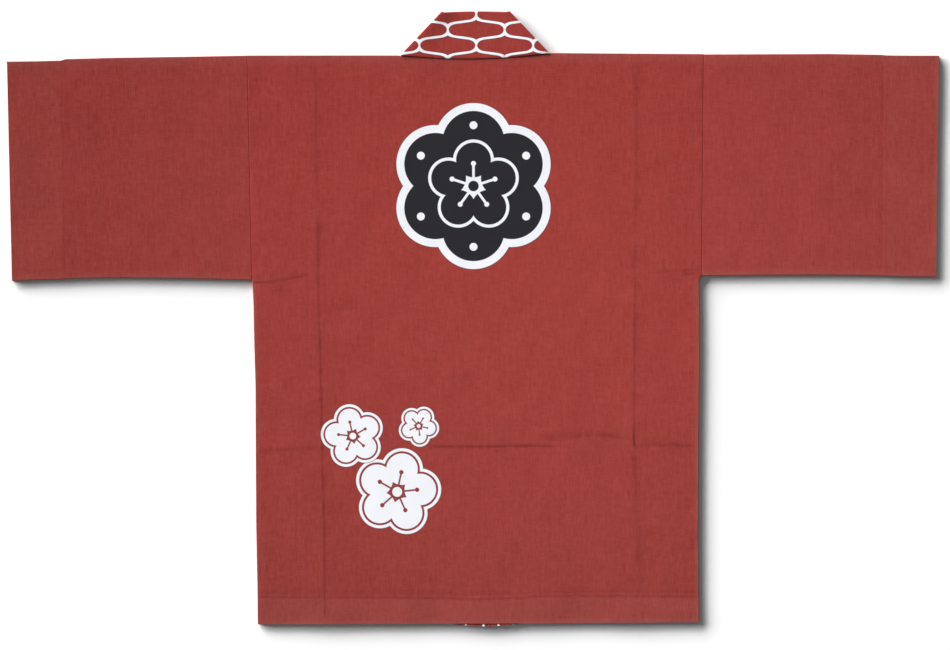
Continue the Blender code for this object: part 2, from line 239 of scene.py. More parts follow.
# The packet's two lengthwise folds, from the hem up
LEFT_PRESS = line_of(
    (-0.2058, -0.4272), (-0.2061, -0.3240), (-0.2092, -0.2060), (-0.2104, -0.1270),
    (-0.2124, -0.0490), (-0.2145, 0.0100), (-0.2148, 0.0880), (-0.2158, 0.1470),
    (-0.2173, 0.2370), (-0.2195, 0.3690),
)
RIGHT_PRESS = line_of(
    (0.2394, -0.4272), (0.2355, -0.3630), (0.2303, -0.2450), (0.2280, -0.2060),
    (0.2264, -0.1670), (0.2264, -0.1280), (0.2276, -0.0200), (0.2282, 0.0680),
    (0.2303, 0.1660), (0.2304, 0.2640), (0.2310, 0.3690),
)


def press_x(fold, y):
    return read_table(fold, "y", y, "x")


def pressed(fold, start_y, end_y):
    """The points of a lengthwise fold between two heights, lowest first."""
    inner = [point for point in fold if start_y < point.y < end_y]
    return line_of((press_x(fold, start_y), start_y), *inner, (press_x(fold, end_y), end_y))


def back_marks_across(y):
    return (
        side_x(y, "left"),
        press_x(LEFT_PRESS, y),
        band_edge_x(y, FOOT_LEFT, NECK_LEFT),
        band_edge_x(y, FOOT_RIGHT, NECK_RIGHT),
        press_x(RIGHT_PRESS, y),
        side_x(y, "right"),
    )


BACK_ACROSS = rule((
    (SEAM, 13, FOLD),
    (FOLD, 18, ()),
    ((), 32, ()),
    ((), 18, FOLD),
    (FOLD, 13, SEAM),
))
BACK_NECK_FIRST = BACK_ACROSS.index(Ruling(stretch=2, share=0.0, offset=0.0))
BACK_NECK_LAST = BACK_ACROSS.index(Ruling(stretch=3, share=0.0, offset=0.0))
UNDERARM_ZONE = (0.004, 0.072)
FOLD_REACH = 1.0 * MM  # how far in from its folded edge the cloth starts to turn under


def back_marks_along(x, in_neck):
    """From the hem up: the hem's inner edge, the cross fold, the creased zone under the arms, the top."""
    top = neck_seam_y(x) - SEAM_GAP if in_neck else shoulder_y(x) - FOLD_REACH
    return (hem_y(x), stitches_y(x), cross_fold_y(x), *UNDERARM_ZONE, top)


BELOW_STITCHES = (0.7, 1.4, 2.3, 3.6)
ABOVE_STITCHES = (0.7, 1.4, 2.3, 3.5, 4.6, 5.4, 6.2, 7.0, 8.0)
BACK_ALONG = rule((
    (RIM, 5, BELOW_STITCHES),
    (ABOVE_STITCHES, 30, FOLD),
    (FOLD, 26, ()),
    ((), 38, ()),
    ((), 46, RIM),
))


def back_plan(column, row, in_neck):
    """Where a column and a row of the back's grid cross. Both lean, so it is found in three rounds."""
    x = 0.0
    for _ in range(3):
        y = at_ruling(back_marks_along(x, in_neck), row)
        x = at_ruling(back_marks_across(y), column)
    return x, y


# Creases, one row each: a soft trough of that depth and half width, with low ridges beside it, which
# grows from nothing over `taper` at both ends, all in millimetres. A depth below nothing makes a ridge.
Crease = namedtuple("Crease", "depth width ridge taper points")
CROSS_FOLD_MIDDLE = line_of((-0.0700, -0.1806), (0.0300, -0.1800), (0.0900, -0.1788), (0.1230, -0.1806))
CROSS_FOLD_RIGHT = line_of((0.0900, -0.1690), (0.1500, -0.1632), (0.2000, -0.1650), (0.2240, -0.1665))
UNDERARM_PULL = line_of((-0.2840, 0.0500), (-0.2650, 0.0540), (-0.2400, 0.0585), (-0.2240, 0.0630))
BACK_CREASES = (
    # the packet's lengthwise folds, pressed hardest from the shoulder blades to the waist
    Crease(0.06, 2.0, 0.02, 40, pressed(LEFT_PRESS, 0.130, 0.366)),
    Crease(0.13, 2.0, 0.03, 26, pressed(LEFT_PRESS, 0.058, 0.150)),
    Crease(0.08, 1.8, 0.03, 24, pressed(LEFT_PRESS, -0.015, 0.082)),
    Crease(0.11, 1.7, 0.04, 22, pressed(LEFT_PRESS, -0.207, 0.006)),
    Crease(0.11, 1.7, 0.04, 30, pressed(LEFT_PRESS, -0.389, -0.190)),
    Crease(0.14, 1.3, 0.03, 12, pressed(LEFT_PRESS, -0.421, -0.373)),
    Crease(0.07, 2.6, 0.02, 26, pressed(RIGHT_PRESS, 0.126, 0.366)),
    Crease(0.08, 2.6, 0.03, 16, pressed(RIGHT_PRESS, 0.056, 0.112)),
    Crease(0.095, 2.0, 0.03, 18, pressed(RIGHT_PRESS, -0.140, 0.070)),
    Crease(0.11, 1.5, 0.04, 9, pressed(RIGHT_PRESS, -0.184, -0.130)),
    Crease(0.08, 2.4, 0.03, 18, pressed(RIGHT_PRESS, -0.256, -0.172)),
    Crease(0.06, 3.0, 0.02, 30, pressed(RIGHT_PRESS, -0.421, -0.240)),
    # the fold across, in stretches that don't quite meet
    Crease(0.075, 3.0, 0.03, 14, ((-0.3030, -0.1872), (-0.2150, -0.1820))),
    Crease(0.09, 1.6, 0.03, 10, ((-0.2060, -0.1796), (-0.1750, -0.1794))),
    Crease(0.14, 1.9, 0.05, 22, CROSS_FOLD_MIDDLE),
    Crease(0.15, 2.7, 0.04, 20, CROSS_FOLD_RIGHT),
    Crease(0.11, 2.9, 0.03, 14, ((0.2340, -0.1772), (0.3130, -0.1792))),
    Crease(0.19, 1.5, 0.05, 5, ((0.2250, -0.1600), (0.2270, -0.1760), (0.2320, -0.1850))),
    # pulled in under the arms
    Crease(0.20, 1.1, 0.06, 4, ((-0.3084, 0.0497), (-0.2780, 0.0502))),
    Crease(0.12, 1.6, 0.04, 9, UNDERARM_PULL),
    Crease(0.04, 3.0, 0.02, 14, ((-0.2900, 0.0350), (-0.2450, 0.0430))),
    Crease(0.11, 1.5, 0.03, 8, ((0.2540, 0.0655), (0.2800, 0.0650))),
    Crease(0.14, 1.3, 0.04, 6, ((0.2880, 0.0624), (0.3140, 0.0621))),
    Crease(0.11, 1.2, 0.03, 6, ((0.2880, 0.0668), (0.3120, 0.0670))),
    # soft bands left by the packet's card
    Crease(0.07, 3.4, 0.03, 30, ((-0.2130, 0.0130), (-0.1100, 0.0140))),
    Crease(0.07, 3.4, 0.03, 20, ((0.1690, 0.0160), (0.2250, 0.0150))),
    Crease(0.06, 4.0, 0.02, 20, ((-0.1700, 0.3350), (-0.1190, 0.3100))),
    Crease(0.05, 4.2, 0.02, 30, ((0.0180, 0.0560), (0.0190, -0.0290))),
    Crease(0.06, 4.0, 0.02, 30, ((-0.1190, 0.2780), (-0.1180, 0.1650))),
    Crease(0.05, 4.0, 0.02, 16, ((-0.1190, -0.0300), (-0.1185, -0.0540))),
    Crease(0.05, 4.0, 0.02, 30, ((-0.0510, -0.0420), (-0.0500, -0.1420))),
    Crease(0.05, 4.2, 0.02, 30, ((0.1215, -0.0370), (0.1225, -0.1640))),
    Crease(0.05, 4.0, 0.02, 20, ((0.0810, -0.0150), (0.0815, -0.0720))),
    Crease(0.06, 3.2, 0.02, 16, ((-0.1150, -0.3520), (-0.1145, -0.4150))),
    Crease(0.06, 3.2, 0.02, 16, ((-0.0540, -0.3520), (-0.0550, -0.4150))),
    Crease(0.05, 3.2, 0.02, 16, ((-0.0140, -0.3520), (-0.0130, -0.4150))),
    # the hem's stitches draw the cloth in, and its inner edge is a fainter line above them
    Crease(0.085, 1.1, 0.0, 3, HEM_STITCHES),
    Crease(0.060, 1.1, 0.0, 6, line_of(*((x, y + HEM_EDGE_UP) for x, y in HEM_STITCHES))),
)
PRESSED_OVER = 0.85  # an upright fold was pressed over to the right, and dies out more slowly that way
RIDGE_OFF = 2.6  # how far a ridge stands off its trough, and how wide it is, in the trough's widths
RIDGE_WIDTH = 1.4
UNEVEN = 0.4  # how much a crease's depth changes along it
DEEPEST = 0.15
SHADED_CREASE_WIDTH = 3.1  # narrower creases get painted shade; wider ones are too soft for it
CREASE_SHADE_SPREAD = 1.8


def creases_at(x, y, creases):
    """How far the creases move the cloth at each of these points, and how much painted shade they give it
    there, up to 1.
    """
    total = np.zeros_like(x)
    crease_shade = np.zeros_like(x)
    for number, crease in enumerate(creases):
        distance = np.full_like(x, np.inf)
        place = np.zeros_like(x)
        rightward = np.zeros_like(x)
        done = 0.0
        for (x0, y0), (x1, y1) in zip(crease.points, crease.points[1:]):
            length = math.hypot(x1 - x0, y1 - y0)
            share = np.clip(((x - x0) * (x1 - x0) + (y - y0) * (y1 - y0)) / length ** 2, 0.0, 1.0)
            across = x - mix(x0, x1, share)
            here = np.hypot(across, y - mix(y0, y1, share))
            place = np.where(here < distance, done + share * length, place)
            rightward = np.where(here < distance, across / np.maximum(here, 0.001 * MM), rightward)
            distance = np.minimum(distance, here)
            done += length
        widths = distance / (crease.width * MM * (1 + PRESSED_OVER * np.clip(rightward, 0.0, 1.0)))
        trough = -crease.depth * np.exp(-widths ** 2)
        ridge = crease.ridge * np.exp(-((widths - RIDGE_OFF) / RIDGE_WIDTH) ** 2)
        ends = smooth(place / (crease.taper * MM)) * smooth((done - place) / (crease.taper * MM))
        uneven = 1 + UNEVEN * np.sin(place * 151 + number) * np.sin(place * 317 + 2 * number)
        total += (trough + ridge) * ends * uneven * MM
        # painted shade along the narrower creases, standing in for the shade in their troughs
        if crease.width < SHADED_CREASE_WIDTH:
            shade_amount = crease.depth / DEEPEST * np.exp(-(widths / CREASE_SHADE_SPREAD) ** 2)
            crease_shade = np.maximum(crease_shade, shade_amount * ends * uneven)
    return total, crease_shade


def crease_height(x, y, creases):
    return creases_at(x, y, creases)[0]


Ripple = namedtuple("Ripple", "height length heading phase")
RIPPLES = (
    Ripple(0.050, 96, 12, 0.4),
    Ripple(0.045, 71, 78, 2.1),
    Ripple(0.032, 49, -35, 4.0),
    Ripple(0.028, 41, 52, 1.2),
    Ripple(0.016, 27, 101, 5.2),
    Ripple(0.014, 23, -8, 3.3),
)
RIPPLE_BEND = 2.3  # how much the waves of a ripple wander across it


def ripple_height(x, y):
    """Cloth that has been pressed never lies quite flat: low waves in several directions."""
    total = np.zeros_like(x)
    for ripple in RIPPLES:
        heading = math.radians(ripple.heading)
        along = (x * math.cos(heading) + y * math.sin(heading)) / (ripple.length * MM)
        across = (y * math.cos(heading) - x * math.sin(heading)) / (ripple.length * MM)
        wave = np.sin(2 * math.pi * along + ripple.phase + np.sin(across * RIPPLE_BEND))
        total += ripple.height * MM * wave
    return total


EDGE_WAVE = 0.9 * MM  # how far an open hem lifts in its highest waves


def edge_wave(place, phase):
    """Open hems lift a little, by an uneven amount from 0 to 1 along them."""
    wave = np.sin(place * 29 + phase) + 0.6 * np.sin(place * 61 + 2 * phase) + 1.6
    return wave / 3.2


PRESSED = 4.0  # how square a pressed fold is: 2 would be round


def rounded(distance, drop, reach):
    """How far a face has gone down this far from its edge: `drop` at the edge, nothing beyond reach."""
    share = np.clip(1 - distance / reach, 0.0, 1.0)
    return drop * (1 - (1 - share ** PRESSED) ** (1 / PRESSED))


def pressed_turn(step, steps):
    """How far out a pressed fold is at a step of its turn, from 0 to 1, and how far up, from 1 to -1."""
    angle = math.pi * step / steps
    out = math.sin(angle) ** (2 / PRESSED)
    up = math.copysign(abs(math.cos(angle)) ** (2 / PRESSED), math.cos(angle))
    return out, up


Pucker = namedtuple("Pucker", "height length reach")
SEAM_PUCKER = Pucker(height=0.07 * MM, length=27 * MM, reach=11 * MM)


def pucker(place, distance, phase):
    """The short waves that a seam's stitching draws into the cloth beside it."""
    wave = np.sin(2 * math.pi * place / SEAM_PUCKER.length + phase) + 0.6 * np.sin(place * 97 + 3 * phase)
    return SEAM_PUCKER.height * wave * np.exp(-distance / SEAM_PUCKER.reach)


SEAM_DROP = 0.35 * MM
SEAM_ROUND = 0.9 * MM
SEAM_ROLL = 0.07 * MM
SEAM_ROLL_REACH = 3.6 * MM
SIDE_DROP = SIDE_TOP - CLOTH - SEAM_GAP
SIDE_ROUND = 0.9 * MM
UNDERARM_Y = 0.056
UNDERARM_BLEND = 8 * MM
CALM_REACH = 6 * MM  # how far from its edges the cloth is held too flat to ripple
WAVE_REACH = 60 * MM


def back_height(x, y, in_neck):
    """The back's face that shows: a low crown, creases, ripples, and edges that go down to their seams."""
    left, right = x - side_x(y, "left"), side_x(y, "right") - x
    side = np.minimum(left, right)
    hem = y - hem_y(x)
    crown = mix(SIDE_TOP, BACK_TOP, smooth(side / SIDE_REACH))
    crown -= (BACK_TOP - HEM_TOP) * (1 - smooth(hem / HEM_REACH))
    calm = smooth(np.minimum(side, np.minimum(hem, shoulder_y(x) - y)) / CALM_REACH)
    height = crown + crease_height(x, y, BACK_CREASES) + ripple_height(x, y) * calm
    height += pucker(y, left, 0.3) * calm + pucker(y, right, 1.9) * calm
    below_arm = smooth((UNDERARM_Y + UNDERARM_BLEND / 2 - y) / UNDERARM_BLEND)
    drop, reach = mix(SEAM_DROP, SIDE_DROP, below_arm), mix(SEAM_ROUND, SIDE_ROUND, below_arm)
    height -= rounded(side, drop, reach)
    height -= SEAM_ROLL * smooth(1 - side / SEAM_ROLL_REACH) * (1 - below_arm)
    height += EDGE_WAVE * edge_wave(x, 0.7) * smooth(1 - hem / WAVE_REACH)
    neck = np.where(in_neck, neck_seam_y(x) - y, 1.0)
    return height - rounded(neck, SEAM_DROP, SEAM_ROUND)


def shell(name, sections, walls, tube=False, places=None):
    """A thin cloth wall behind the face that shows, which the sections run along.

    A section that is shorter than its neighbour ends the cloth there, and with tube each one is closed.
    walls gives each point's thickness, and places its (along, across) on the flat cloth."""
    points = [point for section in sections for point in section]
    rows = []
    for section in sections:
        first = rows[-1][-1] + 1 if rows else 0
        rows.append(range(first, first + len(section)))
    faces = []
    for here, there in zip(rows, rows[1:]):
        shared = min(len(here), len(there))
        for step in range(shared if tube else shared - 1):
            ahead = (step + 1) % shared if tube else step + 1
            faces.append((here[step], there[step], there[ahead], here[ahead]))
    mesh = bpy.data.meshes.new(name)
    mesh.from_pydata(points, [], faces)
    piece = bpy.data.objects.new(name, mesh)
    bpy.context.scene.collection.objects.link(piece)
    if places is not None:
        flat = mesh.uv_layers.new(name="flat_cloth")
        for loop in mesh.loops:
            flat.data[loop.index].uv = places[loop.vertex_index]
    thickest = max(walls)
    group = piece.vertex_groups.new(name="wall")
    for number, wall in enumerate(walls):
        group.add([number], wall / thickest, "REPLACE")
    solidify = piece.modifiers.new("wall", "SOLIDIFY")
    solidify.thickness = thickest
    solidify.offset = -1.0
    solidify.use_even_offset = True
    solidify.use_quality_normals = True
    solidify.vertex_group = group.name
    solidify.thickness_vertex_group = 0.0
    return piece


def finish_shell(piece, round_width):
    """Rounds the wall's rims, applies what shapes it and shades it smooth."""
    rims = piece.modifiers.new("rims", "BEVEL")
    rims.width = round_width
    rims.segments = 3
    rims.limit_method = "ANGLE"
    rims.angle_limit = math.radians(55)
    rims.use_clamp_overlap = True
    bpy.ops.object.select_all(action="DESELECT")
    bpy.context.view_layer.objects.active = piece
    piece.select_set(True)
    for modifier in [m.name for m in piece.modifiers]:
        bpy.ops.object.modifier_apply(modifier=modifier)
    piece.vertex_groups.clear()
    bpy.ops.object.shade_smooth_by_angle(angle=math.radians(40))
    piece.select_set(False)


def paint_value(piece, name, measure):
    """Keeps a number from 0 to 1 at each point of a piece, worked out from its place, for its material."""
    points = np.empty(len(piece.data.vertices) * 3)
    piece.data.vertices.foreach_get("co", points)
    x, y = points[0::3], points[1::3]
    layer = piece.data.attributes.new(name, "FLOAT", "POINT")
    layer.data.foreach_set("value", np.clip(measure(x, y), 0.0, 1.0).astype(np.float32))


FOLD_TURNS = 8
RIM_ROUND = 0.3 * MM


def shoulder_fold(number, last):
    """From the back's last point over the shoulder and down to the underside, where the fronts begin."""
    x, y, z = last
    x = min(x, NECK_LEFT[0] - SEAM_GAP) if number == BACK_NECK_FIRST else x
    x = max(x, NECK_RIGHT[0] + SEAM_GAP) if number == BACK_NECK_LAST else x
    points = []
    for step in range(1, FOLD_TURNS + 1):
        out, up = pressed_turn(step, FOLD_TURNS)
        points.append((x, y + (shoulder_y(x) - y) * out, z / 2 + z / 2 * up))
    end_y = shoulder_y(x) - SHOULDER_TURN
    end_x = x
    if number == BACK_NECK_FIRST:
        end_x = band_edge_x(end_y, FOOT_LEFT, NECK_LEFT) - SEAM_GAP
    if number == BACK_NECK_LAST:
        end_x = band_edge_x(end_y, FOOT_RIGHT, NECK_RIGHT) + SEAM_GAP
    points += [((x + end_x) / 2, (y + end_y) / 2, 0.0), (end_x, end_y, 0.0)]
    return points


def make_back():
    """Its sections run from the hem up. Those that don't end at the neck go on over the shoulder."""
    necked = [BACK_NECK_FIRST < number < BACK_NECK_LAST for number in range(len(BACK_ACROSS))]
    plan = [back_plan(column, row, neck) for column, neck in zip(BACK_ACROSS, necked) for row in BACK_ALONG]
    x, y = np.array(plan).T
    count = len(BACK_ALONG)
    z = back_height(x, y, np.repeat(necked, count))
    sections = []
    for number, neck in enumerate(necked):
        part = slice(number * count, (number + 1) * count)
        section = list(zip(x[part], y[part], z[part]))
        if not neck:
            section += shoulder_fold(number, section[-1])
        sections.append(section)
    points = np.array([point for section in sections for point in section])
    hem = smooth((stitches_y(points[:, 0]) + HEM_STEP / 2 - points[:, 1]) / HEM_STEP)
    return shell("back_cloth", sections, mix(CLOTH, HEM_CLOTH, hem))


back_cloth = make_back()
finish_shell(back_cloth, RIM_ROUND)
# Painted highlight along the open edges, weaker along the left side and the shoulder folds
RIM_HIGHLIGHT_REACH = 7 * MM
TOP_HIGHLIGHT_REACH = 16 * MM
PARTLY_HIGHLIGHTED = 0.75
# Painted shade along the armhole seams: how dark on each side, and how far it reaches
LEFT_SEAM_SHADE = 0.45
RIGHT_SEAM_SHADE = 0.1
SEAM_SHADE_REACH = 1.2 * MM
HEM_SOFTNESS = 6 * MM


def back_rim_highlight(x, y):
    """Painted highlight: open edges are paler, most of all on the right and along the hem."""
    below_arm = y < UNDERARM_Y
    full = 1 - np.minimum(np.where(below_arm, side_x(y, "right") - x, 1.0), y - hem_y(x)) / RIM_HIGHLIGHT_REACH
    left = 1 - np.where(below_arm, x - side_x(y, "left"), 1.0) / RIM_HIGHLIGHT_REACH
    top = 1 - (shoulder_y(x) - y) / TOP_HIGHLIGHT_REACH
    return np.maximum(full, np.maximum(left, top) * PARTLY_HIGHLIGHTED)


def back_painted_shade(x, y):
    """Painted shade: the cloth is darker in its creases and along the armhole seams."""
    left = LEFT_SEAM_SHADE * np.exp(-((x - side_x(y, "left")) / SEAM_SHADE_REACH) ** 2)
    right = RIGHT_SEAM_SHADE * np.exp(-((side_x(y, "right") - x) / SEAM_SHADE_REACH) ** 2)
    seam = np.maximum(left, right) * (y > UNDERARM_Y)
    return np.maximum(creases_at(x, y, BACK_CREASES)[1], seam)


def back_hem(x, y):
    """The hem, where the cloth is doubled, up to its stitches."""
    return (stitches_y(x) - y) / HEM_SOFTNESS + 0.5


paint_value(back_cloth, "rim", back_rim_highlight)
paint_value(back_cloth, "doubled", back_hem)
paint_value(back_cloth, "crease_and_seam_shade", back_painted_shade)


# How the cloth and its print look. A Wire is a number that changes over a surface, and arithmetic on
# Wires adds the math nodes for it.
PRINT_SOFTNESS = 0.35 * MM


class Wire:
    def __init__(self, tree, socket):
        self.tree = tree
        self.socket = socket

    def math(self, operation, *others):
        node = self.tree.nodes.new("ShaderNodeMath")
        node.operation = operation
        for number, value in enumerate((self, *others)):
            if isinstance(value, Wire):
                self.tree.links.new(value.socket, node.inputs[number])
            else:
                node.inputs[number].default_value = value
        return Wire(self.tree, node.outputs[0])

    def __add__(self, other):
        return self.math("ADD", other)

    def __sub__(self, other):
        return self.math("SUBTRACT", other)

    def __mul__(self, other):
        return self.math("MULTIPLY", other)

    def __truediv__(self, other):
        return self.math("DIVIDE", other)

    def within(self):
        """1 where this distance is below nothing, 0 where it is above, with a soft edge."""
        mask = self / (-2 * PRINT_SOFTNESS) + 0.5
        return mask.math("MAXIMUM", 0.0).math("MINIMUM", 1.0)


def new_group(name, numbers, outputs):
    """A node group that is given a place and these numbers: its tree, their Wires and its output node."""
    tree = bpy.data.node_groups.new(name, "ShaderNodeTree")
    tree.interface.new_socket(name="Place", in_out="INPUT", socket_type="NodeSocketVector")
    for socket in numbers:
        tree.interface.new_socket(name=socket, in_out="INPUT", socket_type="NodeSocketFloat")
    for socket in outputs:
        tree.interface.new_socket(name=socket, in_out="OUTPUT", socket_type="NodeSocketFloat")
    source = tree.nodes.new("NodeGroupInput")
    target = tree.nodes.new("NodeGroupOutput")
    return tree, {socket: Wire(tree, source.outputs[socket]) for socket in ("Place", *numbers)}, target


def give(target, **values):
    """Joins each Wire to the group's output of that name."""
    for name, wire in values.items():
        wire.tree.links.new(wire.socket, target.inputs[name])


def use_group(tree, group, place, **values):
    """A group placed in a tree on this vector, with its numbers set, as a Wire for each of its outputs."""
    node = tree.nodes.new("ShaderNodeGroup")
    node.node_tree = group
    tree.links.new(place, node.inputs["Place"])
    for name, value in values.items():
        if isinstance(value, Wire):
            tree.links.new(value.socket, node.inputs[name])
        else:
            node.inputs[name].default_value = value
    return {socket.name: Wire(tree, socket) for socket in node.outputs}


def axes(tree, place):
    """A vector's x and y."""
    node = tree.nodes.new("ShaderNodeSeparateXYZ")
    tree.links.new(place.socket, node.inputs[0])
    return Wire(tree, node.outputs["X"]), Wire(tree, node.outputs["Y"])


# The uneven dye of slubby threads, as wide and as long as this in metres. Those with across lie along
# the weft, and weight is how much each counts.
Slub = namedtuple("Slub", "width length seed across weight")
SLUBS = (
    Slub(width=0.0011, length=0.017, seed=1.0, across=False, weight=1.0),
    Slub(width=0.0011, length=0.013, seed=2.0, across=True, weight=0.7),
    Slub(width=0.0050, length=0.060, seed=3.0, across=False, weight=0.45),
    Slub(width=0.0050, length=0.040, seed=4.0, across=True, weight=0.3),
    Slub(width=0.0060, length=0.0080, seed=6.0, across=False, weight=0.45),
)
CLOUD = Slub(width=0.055, length=0.075, seed=5.0, across=False, weight=1.0)
WEFT_RELIEF = 0.8


def streaks(tree, x, y, slub):
    """Noise around 0, drawn out along the slub."""
    if slub.across:
        x, y = y, x
    joined = tree.nodes.new("ShaderNodeCombineXYZ")
    tree.links.new((x / slub.width).socket, joined.inputs["X"])
    tree.links.new((y / slub.length).socket, joined.inputs["Y"])
    joined.inputs["Z"].default_value = slub.seed
    noise = tree.nodes.new("ShaderNodeTexNoise")
    noise.inputs["Scale"].default_value = 1.0
    noise.inputs["Detail"].default_value = 2.0
    tree.links.new(joined.outputs[0], noise.inputs["Vector"])
    return (Wire(tree, noise.outputs["Fac"]) - 0.5) * slub.weight


def make_oxford_weave():
    """Paired warp threads over thick weft ones. Height is the threads' relief, from 0 to 1, Streak the
    uneven dye of slubby threads, and Cloud the slow change of tone over the cloth, both around 0."""
    tree, given, target = new_group("oxford_weave", ("Thread",), ("Height", "Streak", "Cloud"))
    x, y = axes(tree, given["Place"])
    thread = given["Thread"]
    turn_x = (x / thread) * math.pi
    turn_y = (y / thread) * math.pi
    warp = (turn_x * 2).math("SINE").math("ABSOLUTE")
    weft = turn_y.math("SINE").math("ABSOLUTE")
    over = (turn_x.math("SINE") * turn_y.math("SINE")).math("GREATER_THAN", 0.0)
    height = warp * over + weft * (over * -1 + 1) * WEFT_RELIEF
    streak = streaks(tree, x, y, SLUBS[0])
    for slub in SLUBS[1:]:
        streak = streak + streaks(tree, x, y, slub)
    give(target, Height=height, Streak=streak, Cloud=streaks(tree, x, y, CLOUD))
    return tree


OXFORD_WEAVE = make_oxford_weave()

THREAD = 0.9 * MM
WEAVE_DEPTH = 0.04 * MM
STREAK_DEPTH = 0.16
FLECK_DEPTH = 0.024
CLOUD_DEPTH = 0.12
# Painted shade in the creases and along the armhole seams: how much of this dark red is laid over the cloth
# there
CREASE_SHADE = 0.38
CREASE_SHADE_RED = (0.159, 0.018, 0.016)
# Painted light: a broad pool of light, palest round one place and darker further from it. The cloth is also
# darker low on the back
LIGHT_POOL_MIDDLE = (0.12, 0.06)
LIGHT_POOL_FALLOFF = 0.36
LIGHT_POOL_POWER = 0.75
DARKER_BELOW = -0.05
DARKER_LOW = 0.06
# Its grey changes a little across and down the coat
PALER_RIGHT = 0.0015
PALER_DOWN = 0.0075
STREAK_RELIEF = 0.5
ROUGHNESS = 0.88
THREAD_SHINE = 0.06
SHEEN = 0.015
SHEEN_ROUGHNESS = 0.5
SPECULAR = 0.06
PRINT_WHITE = (0.767, 0.778, 0.822)
PRINT_BLACK = (0.0195, 0.0185, 0.0225)
PRINT_SHADOW_RED = (0.160, 0.038, 0.038)  # a thin painted shadow line round the printed white
PRINT_SHADOW_WIDTH = 0.8 * MM


class ClothPaint:
    """A cloth's material in the making: weave and streaks first, then what is dyed or printed on it."""

    def __init__(self, name, colour, highlight_colour, doubled_colour):
        self.material = bpy.data.materials.new(name)
        self.material.use_nodes = True
        self.tree = self.material.node_tree
        self.shader = self.tree.nodes["Principled BSDF"]
        self.place = Wire(self.tree, self.tree.nodes.new("ShaderNodeTexCoord").outputs["Object"])
        self.weave = use_group(self.tree, OXFORD_WEAVE, self.place.socket, Thread=THREAD)
        self.colour = self.tree.nodes.new("ShaderNodeRGB").outputs[0]
        self.colour.default_value = (*colour, 1.0)
        self.dye(self.attribute("doubled"), doubled_colour)
        # painted highlight along the open edges
        self.dye(self.attribute("rim"), highlight_colour)
        # painted shade in the creases and along the armhole seams
        self.dye(self.attribute("crease_and_seam_shade") * CREASE_SHADE, CREASE_SHADE_RED)
        x, y = axes(self.tree, self.place)
        # painted pool of light over the coat, and darker low on the back
        off_x, off_y = x - LIGHT_POOL_MIDDLE[0], y - LIGHT_POOL_MIDDLE[1]
        depth = (off_x * off_x + off_y * off_y).math("POWER", LIGHT_POOL_POWER) * LIGHT_POOL_FALLOFF
        depth = depth - (y - DARKER_BELOW).math("MINIMUM", 0.0) * DARKER_LOW
        self.shade(self.weave["Streak"] * STREAK_DEPTH + self.weave["Cloud"] * CLOUD_DEPTH - depth + 1)
        self.fleck(self.weave["Streak"] * FLECK_DEPTH + x * PALER_RIGHT - y * PALER_DOWN)

    def attribute(self, name):
        node = self.tree.nodes.new("ShaderNodeAttribute")
        node.attribute_name = name
        return Wire(self.tree, node.outputs["Fac"])

    def dye(self, mask, colour):
        """Lays a colour over the cloth where the mask is 1."""
        node = self.tree.nodes.new("ShaderNodeMix")
        node.data_type = "RGBA"
        a, b = (socket for socket in node.inputs if socket.type == "RGBA")
        b.default_value = (*colour, 1.0)
        self.tree.links.new(mask.socket, node.inputs["Factor"])
        self.tree.links.new(self.colour, a)
        self.colour = next(socket for socket in node.outputs if socket.type == "RGBA")

    def change(self, operation, wire, socket):
        node = self.tree.nodes.new("ShaderNodeVectorMath")
        node.operation = operation
        self.tree.links.new(self.colour, node.inputs[0])
        self.tree.links.new(wire.socket, node.inputs[socket])
        self.colour = node.outputs[0]

    def shade(self, tone):
        """Makes the colour so far deeper where the tone is below 1 and paler where it is above."""
        self.change("SCALE", tone, "Scale")

    def fleck(self, amount):
        """Adds the same amount of grey to every channel, as undyed fibre in the thread does."""
        self.change("ADD", amount, 1)

    def draw(self, group, middle, turn, **values):
        """A figure laid out on the cloth round this middle, turned by these degrees."""
        middle_x, middle_y = middle
        turn = math.radians(turn)
        place = self.place.socket
        return use_group(self.tree, group, place, MiddleX=middle_x, MiddleY=middle_y, Turn=turn, **values)

    def print_white(self, distance):
        """White print where this distance is below nothing, with a thin painted shadow line round it."""
        # painted shadow line round the print
        self.dye((distance - PRINT_SHADOW_WIDTH).within(), PRINT_SHADOW_RED)
        self.dye(distance.within(), PRINT_WHITE)

    def finish(self):
        """Joins colour and relief to the shader."""
        self.tree.links.new(self.colour, self.shader.inputs["Base Color"])
        bump = self.tree.nodes.new("ShaderNodeBump")
        bump.inputs["Strength"].default_value = 1.0
        bump.inputs["Distance"].default_value = WEAVE_DEPTH
        relief = self.weave["Height"] + self.weave["Streak"] * STREAK_RELIEF
        self.tree.links.new(relief.socket, bump.inputs["Height"])
        self.tree.links.new(bump.outputs[0], self.shader.inputs["Normal"])
        roughness = self.weave["Height"] * -THREAD_SHINE + ROUGHNESS
        self.tree.links.new(roughness.socket, self.shader.inputs["Roughness"])
        self.shader.inputs["Sheen Weight"].default_value = SHEEN
        self.shader.inputs["Sheen Roughness"].default_value = SHEEN_ROUGHNESS
        self.shader.inputs["Specular IOR Level"].default_value = SPECULAR
        return self.material


OXFORD_RED = (0.3005, 0.0422, 0.0352)
# the painted highlight's colour along open edges
OXFORD_RIM_HIGHLIGHT = (0.315, 0.068, 0.061)
HEM_RED = (0.303, 0.0508, 0.0430)  # where the cloth is doubled


